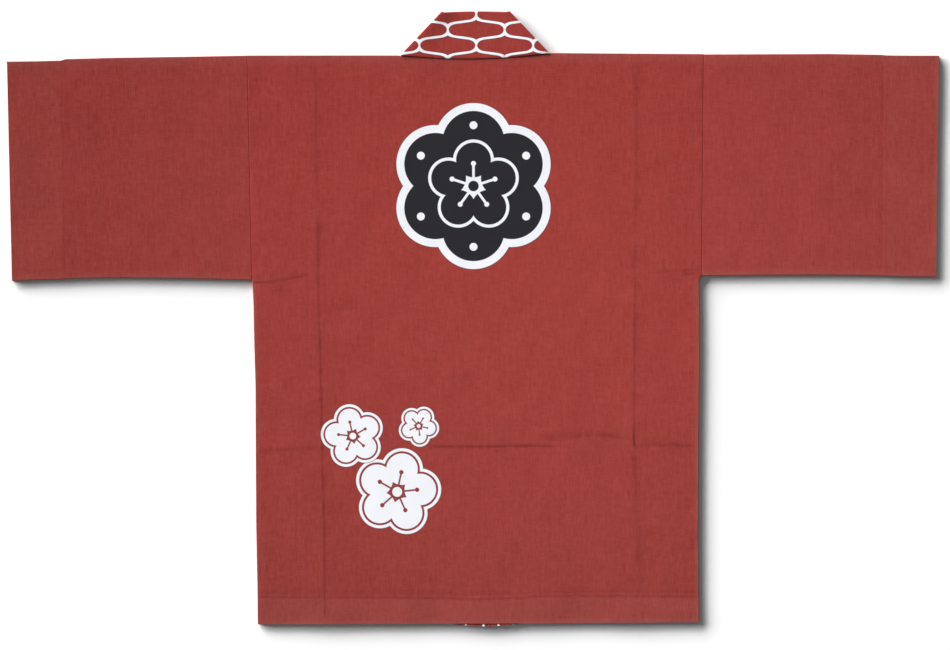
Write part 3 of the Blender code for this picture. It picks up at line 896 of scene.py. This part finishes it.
def make_petal_ring():
    """The distance to the nearest of Count discs that stand in a ring, below nothing inside one."""
    tree, given, target = new_group(
        "petal_ring",
        ("MiddleX", "MiddleY", "Turn", "Count", "Ring", "Disc"),
        ("Distance", "Radius", "Side"),
    )
    x, y = axes(tree, given["Place"])
    x, y = x - given["MiddleX"], y - given["MiddleY"]
    radius = (x * x + y * y).math("SQRT")
    angle = y.math("ARCTAN2", x) - given["Turn"]
    sector = (given["Count"] * 0 + 2 * math.pi) / given["Count"]
    angle = angle - sector * (angle / sector).math("ROUND")
    ahead = radius * angle.math("COSINE")
    side = radius * angle.math("SINE")
    off = ahead - given["Ring"]
    distance = (off * off + side * side).math("SQRT") - given["Disc"]
    give(target, Distance=distance, Radius=radius, Side=side.math("ABSOLUTE"))
    return tree


PETAL_RING = make_petal_ring()


# A plum blossom's petals, the tips of its stamens and its eye, as shares of its outer size
PLUM_PETALS = 5
PETAL_OFF = 0.58
PETAL_SIZE = 0.42
STAMEN_END = 0.50
TIP_SIZE = 0.055
EYE_SIZE = 0.15
STAMEN_FINENESS = 2.4


def make_plum_blossom():
    """The distances to the ground of a plum blossom of that Size, with a margin, and to its lines: five
    petals, an eye between them, and a stamen up each petal with a dot for its tip."""
    tree, given, target = new_group(
        "plum_blossom",
        ("MiddleX", "MiddleY", "Turn", "Size", "Margin", "Line"),
        ("Ground", "Drawn"),
    )
    size, line = given["Size"], given["Line"]
    middle = {name: given[name] for name in ("MiddleX", "MiddleY", "Turn")}
    place = given["Place"].socket
    middle["Count"] = PLUM_PETALS
    petals = use_group(tree, PETAL_RING, place, Ring=size * PETAL_OFF, Disc=size * PETAL_SIZE, **middle)
    tips = use_group(tree, PETAL_RING, place, Ring=size * STAMEN_END, Disc=size * TIP_SIZE, **middle)
    outline = petals["Distance"].math("ABSOLUTE") - line / 2
    eye = (petals["Radius"] - size * EYE_SIZE).math("ABSOLUTE") - line / 2
    stalk = petals["Side"] - line / STAMEN_FINENESS
    stalk = stalk.math("MAXIMUM", petals["Radius"] - size * STAMEN_END)
    stalk = stalk.math("MAXIMUM", size * EYE_SIZE - petals["Radius"])
    drawn = outline.math("MINIMUM", eye).math("MINIMUM", stalk).math("MINIMUM", tips["Distance"])
    ground = petals["Distance"].math("MINIMUM", petals["Radius"] - size * STAMEN_END) - given["Margin"]
    give(target, Ground=ground, Drawn=drawn)
    return tree


PLUM_BLOSSOM = make_plum_blossom()

# A snow roundel between the shoulders, black within a broad white edge, has a white drop at the tip of
# each lobe and holds a plum blossom in white line
ROUNDEL = (0.0007, 0.1855)
ROUNDEL_TURN = 30
ROUNDEL_LOBES = 6
ROUNDEL_RING = 61.5 * MM
ROUNDEL_DISC = 43.5 * MM
ROUNDEL_EDGE = 11 * MM
DROP_RING = 85 * MM
DROP_SIZE = 5.5 * MM
INNER_PLUM = 63 * MM
INNER_LINE = 4.2 * MM

back_paint = ClothPaint("back_oxford", OXFORD_RED, OXFORD_RIM_HIGHLIGHT, HEM_RED)
lobes = back_paint.draw(
    PETAL_RING, ROUNDEL, ROUNDEL_TURN, Count=ROUNDEL_LOBES, Ring=ROUNDEL_RING, Disc=ROUNDEL_DISC
)
roundel_face = lobes["Distance"].math("MINIMUM", lobes["Radius"] - ROUNDEL_RING)
back_paint.print_white(roundel_face - ROUNDEL_EDGE)
back_paint.dye(roundel_face.within(), PRINT_BLACK)
drops = back_paint.draw(
    PETAL_RING, ROUNDEL, ROUNDEL_TURN, Count=ROUNDEL_LOBES, Ring=DROP_RING, Disc=DROP_SIZE
)
back_paint.dye(drops["Distance"].within(), PRINT_WHITE)
inner_plum = back_paint.draw(PLUM_BLOSSOM, ROUNDEL, 90, Size=INNER_PLUM, Margin=0.0, Line=INNER_LINE)
back_paint.dye(inner_plum["Drawn"].within(), PRINT_WHITE)

# Three plum blossoms near the hem on the left, white with the cloth's red left as their lines
Blossom = namedtuple("Blossom", "x y size turn line")
BLOSSOMS = (
    Blossom(x=-0.1060, y=-0.2420, size=0.0560, turn=78, line=0.0030),
    Blossom(x=-0.1680, y=-0.1640, size=0.0400, turn=102, line=0.0026),
    Blossom(x=-0.0760, y=-0.1500, size=0.0250, turn=60, line=0.0021),
)
BLOSSOM_MARGIN = 1.9  # in its line's widths
DRAWN_RED = (0.239, 0.040, 0.036)
for x, y, size, turn, line in BLOSSOMS:
    plum = back_paint.draw(
        PLUM_BLOSSOM, (x, y), turn, Size=size, Margin=line * BLOSSOM_MARGIN, Line=line
    )
    back_paint.print_white(plum["Ground"])
    back_paint.dye(plum["Drawn"].within(), DRAWN_RED)

back_cloth.data.materials.append(back_paint.finish())

# Hems are held by small stitches, each a short loop of thread that lies on the cloth
STITCH_SPACING = 4.5 * MM
STITCH_LENGTH = 1.7 * MM
STITCH_RADIUS = 0.24 * MM
STITCH_RINGS = 5
STITCH_SIDES = 6
THREAD_RED = (0.150, 0.012, 0.010)
PLY_SHADE_DARKEST = 0.7
PLY_SHADE_CONTRAST = 0.5
THREAD_ROUGHNESS = 0.8
PLY_SHINE = 0.2
TWIST = 0.35 * MM


def make_thread_paint():
    """Two-ply thread: its plies show as slanting ridges, with painted shade between them."""
    material = bpy.data.materials.new("stitch_thread")
    material.use_nodes = True
    tree = material.node_tree
    shader = tree.nodes["Principled BSDF"]
    x, y = axes(tree, Wire(tree, tree.nodes.new("ShaderNodeTexCoord").outputs["Object"]))
    # painted shade in the grooves between the plies
    ply = ((x + y) * (math.pi / TWIST)).math("SINE").math("ABSOLUTE")
    colour = tree.nodes.new("ShaderNodeVectorMath")
    colour.operation = "SCALE"
    colour.inputs[0].default_value = THREAD_RED
    tree.links.new((ply * PLY_SHADE_CONTRAST + PLY_SHADE_DARKEST).socket, colour.inputs["Scale"])
    tree.links.new(colour.outputs[0], shader.inputs["Base Color"])
    bump = tree.nodes.new("ShaderNodeBump")
    bump.inputs["Distance"].default_value = STITCH_RADIUS / 4
    tree.links.new(ply.socket, bump.inputs["Height"])
    tree.links.new(bump.outputs[0], shader.inputs["Normal"])
    tree.links.new((ply * -PLY_SHINE + THREAD_ROUGHNESS).socket, shader.inputs["Roughness"])
    return material


STITCH_THREAD = make_thread_paint()


def add_stitch(points, faces, spot, along, facing):
    """One stitch: rings round its length, closed by a point at each end, with its points counted on."""
    up = Vector((0, 0, facing))
    side = up.cross(along)
    first = len(points)
    for ring in range(STITCH_RINGS):
        share = (2 * ring + 1) / STITCH_RINGS - 1
        radius = STITCH_RADIUS * math.sqrt(1 - share ** 2)
        for turn in range(STITCH_SIDES):
            angle = 2 * math.pi * turn / STITCH_SIDES
            off = side * math.cos(angle) + up * math.sin(angle)
            points.append(spot + along * share * STITCH_LENGTH / 2 + off * radius)
    for ring in range(STITCH_RINGS - 1):
        for turn in range(STITCH_SIDES):
            start = first + ring * STITCH_SIDES
            here, ahead = start + turn, start + (turn + 1) % STITCH_SIDES
            faces.append((here, ahead, ahead + STITCH_SIDES, here + STITCH_SIDES))
    last = first + (STITCH_RINGS - 1) * STITCH_SIDES
    points += [spot - along * STITCH_LENGTH / 2, spot + along * STITCH_LENGTH / 2]
    for turn in range(STITCH_SIDES):
        ahead = (turn + 1) % STITCH_SIDES
        faces.append((first + ahead, first + turn, len(points) - 2))
        faces.append((last + turn, last + ahead, len(points) - 1))


def sew(name, piece, line, facing=1):
    """Stitches along a line on a finished piece, on its upper face (1) or its lower one (-1)."""
    bpy.context.view_layer.update()
    points, faces = [], []
    for (x0, y0), (x1, y1) in zip(line, line[1:]):
        heading = Vector((x1 - x0, y1 - y0, 0.0))
        count = round(heading.length / STITCH_SPACING)
        for number in range(count):
            middle = Vector((x0, y0, 0.0)) + heading * (number + 0.5) / count
            hit, spot, _, _ = piece.ray_cast(middle + Vector((0, 0, facing)), Vector((0, 0, -facing)))
            if hit:
                add_stitch(points, faces, spot, heading.normalized(), facing)
    mesh = bpy.data.meshes.new(name)
    mesh.from_pydata(points, [], faces)
    mesh.shade_smooth()
    mesh.materials.append(STITCH_THREAD)
    stitches = bpy.data.objects.new(name, mesh)
    bpy.context.scene.collection.objects.link(stitches)
    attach(stitches, "root")
    return stitches


HEM_INSET = 4 * MM
hem_start = (HEM_STITCHES[0].x + HEM_INSET, HEM_STITCHES[0].y)
back_stitches = sew("back_hem_stitches", back_cloth, (hem_start, *HEM_STITCHES[1:]))
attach(back_cloth, "root")
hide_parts("back")

# ---------------------------------------------------------------- sleeves
# Each sleeve is one straight piece, folded at the shoulder line and closed under the arm: a flat tube that
# is open at the cuff. The cuff is turned in deeply and stitched; the other end is sewn to the body.

SleeveSection = namedtuple("SleeveSection", "x_top x_bottom y_top y_bottom")
LEFT_SLEEVE = (
    SleeveSection(x_top=-0.6517, x_bottom=-0.6447, y_top=0.3597, y_bottom=0.0527),
    SleeveSection(x_top=-0.6120, x_bottom=-0.6060, y_top=0.3602, y_bottom=0.0546),
    SleeveSection(x_top=-0.5770, x_bottom=-0.5720, y_top=0.3611, y_bottom=0.0553),
    SleeveSection(x_top=-0.5700, x_bottom=-0.5660, y_top=0.3632, y_bottom=0.0560),
    SleeveSection(x_top=-0.5000, x_bottom=-0.4970, y_top=0.3650, y_bottom=0.0575),
    SleeveSection(x_top=-0.4000, x_bottom=-0.3960, y_top=0.3665, y_bottom=0.0563),
    SleeveSection(x_top=-0.31585, x_bottom=-0.30905, y_top=0.3680, y_bottom=0.0543),
)
RIGHT_SLEEVE = (
    SleeveSection(x_top=0.6517, x_bottom=0.6475, y_top=0.3680, y_bottom=0.0584),
    SleeveSection(x_top=0.6140, x_bottom=0.6110, y_top=0.3681, y_bottom=0.0588),
    SleeveSection(x_top=0.5780, x_bottom=0.5760, y_top=0.3684, y_bottom=0.0598),
    SleeveSection(x_top=0.5710, x_bottom=0.5690, y_top=0.3692, y_bottom=0.0604),
    SleeveSection(x_top=0.5000, x_bottom=0.4980, y_top=0.3704, y_bottom=0.0614),
    SleeveSection(x_top=0.4200, x_bottom=0.4180, y_top=0.3701, y_bottom=0.0612),
    SleeveSection(x_top=0.32237, x_bottom=0.31957, y_top=0.3698, y_bottom=0.0602),
)
CUFF_ROWS = 3  # the table's first rows are the cuff, where the cloth is doubled
SLEEVE_TOP = 5.0 * MM
CUFF_TOP = 4.7 * MM
CUFF_REACH = 60 * MM
CUFF_RISE = 0.05 * MM
SLEEVE_SEAM_DROP = 0.15 * MM
# painted shade along each sleeve's armhole seam
SLEEVE_SEAM_SHADE = {"sleeve_left_cloth": 0.7, "sleeve_right_cloth": 0.2}
SLEEVE_STEP = 7 * MM
SLEEVE_TURNS = 8
SLEEVE_ACROSS = rule(((RIM, 40, RIM),))
UNDER_STEPS = 14
SLEEVE_CALM_REACH = 8 * MM
CUFF_LIFT = 0.5 * MM
CUFF_LIFT_REACH = 50 * MM
CUFF_SOFTNESS = 3 * MM
CUFF_END_LINES = (-2.4, -1.2, -0.5, 0.5, 1.2, 2.4)
SLEEVE_RED = (0.3015, 0.0445, 0.0375)
CUFF_RED = (0.310, 0.0503, 0.0420)

# The last crease is where the turned-in cuff ends: a low ridge on the left, a shallow dip on the right
LEFT_SLEEVE_CREASES = (
    Crease(0.05, 5.0, 0.01, 40, ((-0.5200, 0.3450), (-0.5180, 0.0800))),
    Crease(0.06, 2.2, 0.03, 30, ((-0.3235, 0.3500), (-0.3200, 0.2300))),
    Crease(0.06, 4.0, 0.02, 30, ((-0.3120, 0.0750), (-0.3700, 0.0640))),
    Crease(0.05, 5.0, 0.01, 40, ((-0.4300, 0.3400), (-0.4200, 0.1200))),
    Crease(-0.050, 1.2, 0.0, 10, ((-0.5727, 0.3590), (-0.5670, 0.0580))),
)
RIGHT_SLEEVE_CREASES = (
    Crease(0.08, 2.4, 0.03, 30, ((0.5560, 0.3550), (0.5540, 0.0750))),
    Crease(0.05, 5.0, 0.01, 40, ((0.4500, 0.3500), (0.4470, 0.0900))),
    Crease(0.06, 4.0, 0.02, 30, ((0.3230, 0.0800), (0.3800, 0.0700))),
    Crease(0.070, 1.8, 0.015, 10, ((0.5745, 0.3660), (0.5725, 0.0620))),
)


def along_sleeve(table):
    """The sleeve's rows, from the cuff in: fine at the rim, at the cuff's inner edge and at the armhole."""
    edges = [row.x_top for row in table]
    sign = 1 if edges[-1] > edges[0] else -1
    wanted = [edges[0] + sign * step * MM for step in (0, *RIM)]
    for start, end in zip(edges, edges[1:]):
        steps = max(1, math.ceil(abs(end - start) / SLEEVE_STEP))
        wanted += [mix(start, end, step / steps) for step in range(1, steps)]
        if end != edges[-1]:
            wanted.append(end)
    cuff_end = (edges[CUFF_ROWS - 1] + edges[CUFF_ROWS]) / 2
    wanted += [cuff_end + sign * step * MM for step in CUFF_END_LINES]
    wanted += [edges[-1] - sign * step * MM for step in (*RIM, 0)]
    return sorted(set(wanted), key=lambda x: sign * x)


def sleeve_row(table, x_top):
    """The table's row for this x of the upper edge."""
    rows = sorted(table, key=lambda row: row.x_top)
    wanted = [read_table(rows, "x_top", x_top, name) for name in SleeveSection._fields[1:]]
    return SleeveSection(x_top, *wanted)


def row_x(row, y):
    """Where a row of the sleeve, which leans a little, is at this y."""
    return mix(row.x_bottom, row.x_top, (y - row.y_bottom) / (row.y_top - row.y_bottom))


def tube_turn(x, y, z, edge_y, way):
    """The fold at a side of the tube: way 1 goes down at the upper side, -1 goes up at the lower one."""
    points = []
    for step in range(1, SLEEVE_TURNS):
        out, up = pressed_turn(step, SLEEVE_TURNS)
        points.append((x, y + (edge_y - y) * out, z / 2 + way * z / 2 * up))
    return points


def make_sleeve(name, table, creases, phase):
    """Rings round the sleeve, from the cuff in. Each begins at the underarm and goes up the upper face."""
    cuff_edge = table[0].x_top
    armhole = table[-1].x_top
    cuff_end = (table[CUFF_ROWS - 1].x_top + table[CUFF_ROWS].x_top) / 2
    sign = 1 if armhole > cuff_edge else -1
    sections, walls = [], []
    for x_top in along_sleeve(table):
        row = sleeve_row(table, x_top)
        doubled = smooth(0.5 - sign * (x_top - cuff_end) / HEM_STEP)
        ends = (row.y_bottom + FOLD_REACH, row.y_top - FOLD_REACH)
        y = np.array([at_ruling(ends, line) for line in SLEEVE_ACROSS])
        x = row_x(row, y)
        from_side = np.minimum(y - row.y_bottom, row.y_top - y)
        from_cuff, from_armhole = abs(x_top - cuff_edge), abs(armhole - x_top)
        calm = smooth(np.minimum(from_side, min(from_cuff, from_armhole)) / SLEEVE_CALM_REACH)
        z = mix(CUFF_TOP, SLEEVE_TOP, smooth(from_cuff / CUFF_REACH)) + CUFF_RISE * doubled
        z = z + crease_height(x, y, creases) * calm + ripple_height(x, y + phase) * calm
        z += pucker(y, from_armhole, phase) * calm
        z -= rounded(from_armhole, SLEEVE_SEAM_DROP, SEAM_ROUND)
        z += CUFF_LIFT * edge_wave(y, phase) * smooth(1 - from_cuff / CUFF_LIFT_REACH)
        section = list(zip(x, y, z))
        section += tube_turn(x[-1], y[-1], z[-1], row.y_top, 1)
        for step in range(UNDER_STEPS + 1):
            share = step / UNDER_STEPS
            section.append((mix(x[-1], x[0], share), mix(y[-1], y[0], share), 0.0))
        section += tube_turn(x[0], y[0], z[0], row.y_bottom, -1)
        if sign < 0:
            section = section[:1] + section[:0:-1]
        sections.append(section)
        walls += [mix(CLOTH, HEM_CLOTH, doubled)] * len(section)
    return shell(name, sections, walls, tube=True)


OXFORD = ClothPaint("oxford", SLEEVE_RED, OXFORD_RIM_HIGHLIGHT, CUFF_RED).finish()


def finish_sleeve(piece, table):
    """Where its edges get a painted highlight, where its cloth is doubled and where its armhole seam gets
    painted shade, then its material, its stitches and its place.
    """
    rows = sorted(table, key=lambda row: row.x_top)
    cuff, cuff_seam, armhole = table[0], table[CUFF_ROWS - 1], table[-1]
    sign = 1 if armhole.x_top < cuff.x_top else -1

    # painted highlight along the lower edge, the right cuff's mouth and the top fold
    def rim(x, y):
        edge = y - read_table(rows, "x_top", x, "y_bottom")
        mouth = np.abs(row_x(cuff, y) - x) if cuff.x_top > 0 else 1.0
        top = 1 - (read_table(rows, "x_top", x, "y_top") - y) / TOP_HIGHLIGHT_REACH
        return np.maximum(1 - np.minimum(edge, mouth) / RIM_HIGHLIGHT_REACH, top * PARTLY_HIGHLIGHTED)

    def doubled(x, y):
        return (x - row_x(cuff_seam, y)) * sign / CUFF_SOFTNESS + 0.5

    # painted shade along the armhole seam
    def shade_amount(x, y):
        seam = np.abs(row_x(armhole, y) - x)
        return SLEEVE_SEAM_SHADE[piece.name] * np.exp(-(seam / SEAM_SHADE_REACH) ** 2)

    paint_value(piece, "rim", rim)
    paint_value(piece, "doubled", doubled)
    paint_value(piece, "crease_and_seam_shade", shade_amount)
    piece.data.materials.append(OXFORD)
    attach(piece, "root")
    line = (
        (cuff_seam.x_top, cuff_seam.y_top - HEM_INSET),
        (cuff_seam.x_bottom, cuff_seam.y_bottom + HEM_INSET),
    )
    name = piece.name.replace("cloth", "cuff_stitches")
    stitches = [sew(f"{name}_upper", piece, line, 1), sew(f"{name}_lower", piece, line, -1)]


sleeve_left_cloth = make_sleeve("sleeve_left_cloth", LEFT_SLEEVE, LEFT_SLEEVE_CREASES, 1.9)
sleeve_right_cloth = make_sleeve("sleeve_right_cloth", RIGHT_SLEEVE, RIGHT_SLEEVE_CREASES, 4.2)
for sleeve, table in ((sleeve_left_cloth, LEFT_SLEEVE), (sleeve_right_cloth, RIGHT_SLEEVE)):
    finish_shell(sleeve, RIM_ROUND)
    finish_sleeve(sleeve, table)
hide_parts("sleeve_left")
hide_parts("sleeve_right")

# ---------------------------------------------------------------- fronts
# The two fronts lie face down under the back. Each is sewn to the back at its side and under the shoulder
# fold, and to the collar band along its inner edge; its hem is turned in and stitched as the back's is.

FRONT_SHORT = 0.6 * MM
FRONT_HEM = (0.9, 3.0)
FRONT_ACROSS = rule(((RIM[:2], 16, RIM[:2]),))
FRONT_ALONG = rule(((FRONT_HEM, 4, FRONT_HEM), (FRONT_HEM, 60, RIM[:2])))
Front = namedtuple("Front", "name side foot neck outward")
LEFT_FRONT = Front("front_left_cloth", "left", FOOT_LEFT, NECK_LEFT, -1)
RIGHT_FRONT = Front("front_right_cloth", "right", FOOT_RIGHT, NECK_RIGHT, 1)


def make_front(front):
    """The grid runs along the face that lies on the table."""
    sections, walls = [], []
    for line in FRONT_ACROSS:
        section = []
        for row in reversed(FRONT_ALONG):
            x = mix(side_x(0.0, front.side), band_edge_x(0.0, front.foot, front.neck), line.share)
            for _ in range(3):
                top = shoulder_y(x) - SHOULDER_TURN - SEAM_GAP
                y = at_ruling((hem_y(x) + FRONT_SHORT, stitches_y(x), top), row)
                inner = band_edge_x(y, front.foot, front.neck) + front.outward * SEAM_GAP
                x = at_ruling(tuple(sorted((side_x(y, front.side), inner))), line)
            section.append((x, y, 0.0))
            hem = smooth((stitches_y(x) + HEM_STEP / 2 - y) / HEM_STEP)
            walls.append(mix(CLOTH, HEM_CLOTH, hem))
        sections.append(section)
    piece = shell(front.name, sections, walls)
    finish_shell(piece, RIM_ROUND)
    paint_value(piece, "rim", back_rim_highlight)
    paint_value(piece, "doubled", back_hem)
    piece.data.materials.append(OXFORD)
    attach(piece, "root")
    return piece


def sew_front(piece, front):
    """Its hem is stitched as the back's is, seen from below."""
    seam_y = HEM_STITCHES[0].y
    inner = band_edge_x(seam_y, front.foot, front.neck) + front.outward * HEM_INSET
    outer = side_x(seam_y, front.side) - front.outward * HEM_INSET
    start, end = sorted((inner, outer))
    between = [point for point in HEM_STITCHES if start < point.x < end]
    line = ((start, stitches_y(start)), *between, (end, stitches_y(end)))
    return sew(front.name.replace("cloth", "hem_stitches"), piece, line, -1)


front_left_cloth = make_front(LEFT_FRONT)
front_right_cloth = make_front(RIGHT_FRONT)
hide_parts("front_left")
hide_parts("front_right")
left_stitches = sew_front(front_left_cloth, LEFT_FRONT)
right_stitches = sew_front(front_right_cloth, RIGHT_FRONT)

# ---------------------------------------------------------------- collar band
# One long band of the same cloth, folded double. It runs up one front, is folded over into a mitre where
# the neck begins, crosses the back of the neck, and goes down the other front. A white fishing-net
# pattern is printed along it.

BAND_CLOTH = 2.4 * MM
BAND_FOLD_RADIUS = BAND_CLOTH + SEAM_GAP / 2
NECK_TOP = 6.8 * MM
MITRE_BULGE = 1.1 * MM
BAND_FOLD_SLIDE = math.pi * (BAND_CLOTH + SEAM_GAP) / 2
COLLAR_BOW = 1.4 * MM
COLLAR_SAG = 1.0 * MM
SAG_SPREAD = 1.2
BAND_ACROSS = 18
LEG_STEPS = 60
NECK_STEPS = 36
MITRE_TURNS = 10
FOOT_CLOTH = 5.5 * MM  # the band's end is turned in and stands thick below the hem
FOOT_SLANT = 4.4 * MM
FOOT_BELOW_HEM = 0.5 * MM
FOOT_BLEND = 1.2 * MM
FOOT_STEPS = (0.0, 0.5, 1.1, 1.8, 2.5, 3.2, 4.0, 5.0)
BAND_ROUND = 0.9 * MM
# creep: how far the printed rows run off across the band, for each metre down a front
Mitre = namedtuple("Mitre", "shoulder top foot_outer foot_inner outward creep")
MITRES = (
    Mitre(NECK_LEFT, (-0.0452, 0.4282), FOOT_LEFT, (0.0181, -0.4305), -1, 0.0053),
    Mitre(NECK_RIGHT, (0.0525, 0.4288), FOOT_RIGHT, (0.0190, -0.4303), 1, 0.0148),
)


def mitre_lines(mitre):
    """The ends of the mitre's fold: at the shoulder, and free on the leg and on the neck. Then the way
    out over it and the way along it."""
    rise = Vector(mitre.top) - Vector(mitre.shoulder)
    along = rise.normalized()
    away = Vector((mitre.outward * along.y, -mitre.outward * along.x))
    shoulder = Vector(mitre.shoulder) - away * BAND_FOLD_RADIUS
    top = Vector(mitre.top) - away * BAND_FOLD_RADIUS
    slide = along * BAND_FOLD_SLIDE / 2
    return shoulder, top - slide, top + slide, away, along


def unfolded(point, mitre):
    """Where a point of a leg lies on the flat band, with the neck's part left in place."""
    shoulder, _, _, _, along = mitre_lines(mitre)
    off = Vector(point) - shoulder
    flat = shoulder + 2 * off.dot(along) * along - off
    flat.y += mitre.creep * max(abs(flat.x) - abs(shoulder.x), 0.0)
    return flat


def band_row(outer, inner, z, place=lambda point: point):
    """Points across the band from its sewn edge to its free edge, and where they lie on the flat band."""
    shares = [step / BAND_ACROSS for step in range(BAND_ACROSS + 1)]
    spots = [Vector(outer).lerp(Vector(inner), share) for share in shares]
    return [((*spot, z(share)), tuple(place(spot))) for spot, share in zip(spots, shares)]


def collar_rows():
    """Rows across the band, from the left foot up, round the neck and down to the right foot."""
    rows = []
    for mitre, order in zip(MITRES, (1, -1)):
        shoulder, leg_top, top, away, _ = mitre_lines(mitre)
        part = []
        length = (shoulder - Vector(mitre.foot_outer)).length
        shares = [step * MM / length for step in FOOT_STEPS]
        shares += [step / LEG_STEPS for step in range(1, LEG_STEPS)]
        for share in shares:
            outer = Vector(mitre.foot_outer).lerp(shoulder, mix(FOOT_SLANT / length, 1.0, share))
            inner = Vector(mitre.foot_inner).lerp(leg_top, share)
            part.append(band_row(outer, inner, lambda share: 0.0, lambda p, m=mitre: unfolded(p, m)))
        for step in range(MITRE_TURNS + 1):
            out, up = pressed_turn(step, MITRE_TURNS)
            push = away * (BAND_FOLD_RADIUS - MITRE_BULGE + MITRE_BULGE * out)
            free = leg_top.lerp(top, step / MITRE_TURNS)
            part.append(band_row(shoulder + push, free + push, lambda share, z=NECK_TOP / 2 * (1 - up): z))
        rows.append(part[::order])
    left, right = mitre_lines(MITRES[0]), mitre_lines(MITRES[1])
    neck = []
    for step in range(1, NECK_STEPS):
        share = step / NECK_STEPS
        x = mix(left[0].x, right[0].x, share)
        middle = 1 - (2 * share - 1) ** 2
        free = left[2].lerp(right[2], share) + Vector((0.0, COLLAR_BOW * middle))
        sag = COLLAR_SAG * smooth(middle * SAG_SPREAD)
        neck.append(band_row((x, neck_seam_y(x)), free, lambda s, sag=sag: NECK_TOP - sag * (0.5 + s)))
    return rows[0] + neck + rows[1]


def band_wall(x, y):
    below = smooth((hem_y(x) - FOOT_BELOW_HEM - y) / FOOT_BLEND)
    return mix(BAND_CLOTH, FOOT_CLOTH, below)


def make_collar():
    rows = collar_rows()
    sections = [[point for point, _ in row] for row in rows]
    places = [place for row in rows for _, place in row]
    walls = [band_wall(x, y) for section in sections for x, y, _ in section]
    return shell("collar_band", sections, walls, places=places)


collar_band = make_collar()
finish_shell(collar_band, BAND_ROUND)

# The fishing net: rows of long meshes with round ends and a cusp above and below, each row half a mesh on
NET_MIDDLE = (0.0045, 0.4040)
NET_LENGTH = 79.5 * MM
NET_ROW = 21.9 * MM
MESH_HALF_LENGTH = 38.4 * MM
MESH_HALF_HEIGHT = 11.9 * MM  # in its middle, below the cusp
MESH_SLOPE = 0.13  # how fast it narrows from there
MESH_END = 10 * MM
MESH_CUSP = 2.3 * MM
MESH_CUSP_REACH = 3.4 * MM
MESH_ROUNDNESS = 2.2


def inside_mesh(x, row, number):
    """How far inside the meshes of this row a point lies, below nothing outside them."""
    shift = (number * 0.5).math("FRACT")
    along = ((x - NET_MIDDLE[0]) / NET_LENGTH + shift + 0.5).math("FRACT") - 0.5
    from_middle = along.math("ABSOLUTE") * NET_LENGTH
    cusp = (from_middle / -MESH_CUSP_REACH).math("EXPONENT") * MESH_CUSP
    flank = from_middle * -MESH_SLOPE + MESH_HALF_HEIGHT
    into_end = (from_middle - (MESH_HALF_LENGTH - MESH_END)) / MESH_END
    into_end = into_end.math("MAXIMUM", 0.0).math("MINIMUM", 1.0)
    arch = (into_end.math("POWER", MESH_ROUNDNESS) * -1 + 1).math("POWER", 1 / MESH_ROUNDNESS)
    return arch * flank + cusp - (row - number).math("ABSOLUTE") * NET_ROW


def make_fishing_net():
    """How far inside a mesh a point of the flat band lies, below nothing on the cord between them."""
    tree, given, target = new_group("fishing_net", (), ("Inside",))
    x, y = axes(tree, given["Place"])
    row = (y - NET_MIDDLE[1]) / NET_ROW
    nearest = row.math("ROUND")
    beyond = nearest + (row - nearest).math("SIGN")
    inside = inside_mesh(x, row, nearest).math("MAXIMUM", inside_mesh(x, row, beyond))
    give(target, Inside=inside)
    return tree


FISHING_NET = make_fishing_net()


def no_edge(x, y):
    return np.zeros_like(x)


paint_value(collar_band, "rim", no_edge)
paint_value(collar_band, "doubled", no_edge)
collar_paint = ClothPaint("collar_oxford", OXFORD_RED, OXFORD_RIM_HIGHLIGHT, HEM_RED)
flat_cloth = collar_paint.tree.nodes.new("ShaderNodeUVMap")
flat_cloth.uv_map = "flat_cloth"
net = use_group(collar_paint.tree, FISHING_NET, flat_cloth.outputs["UV"])["Inside"]
collar_paint.print_white(net)
collar_band.data.materials.append(collar_paint.finish())
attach(collar_band, "root")
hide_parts("collar")
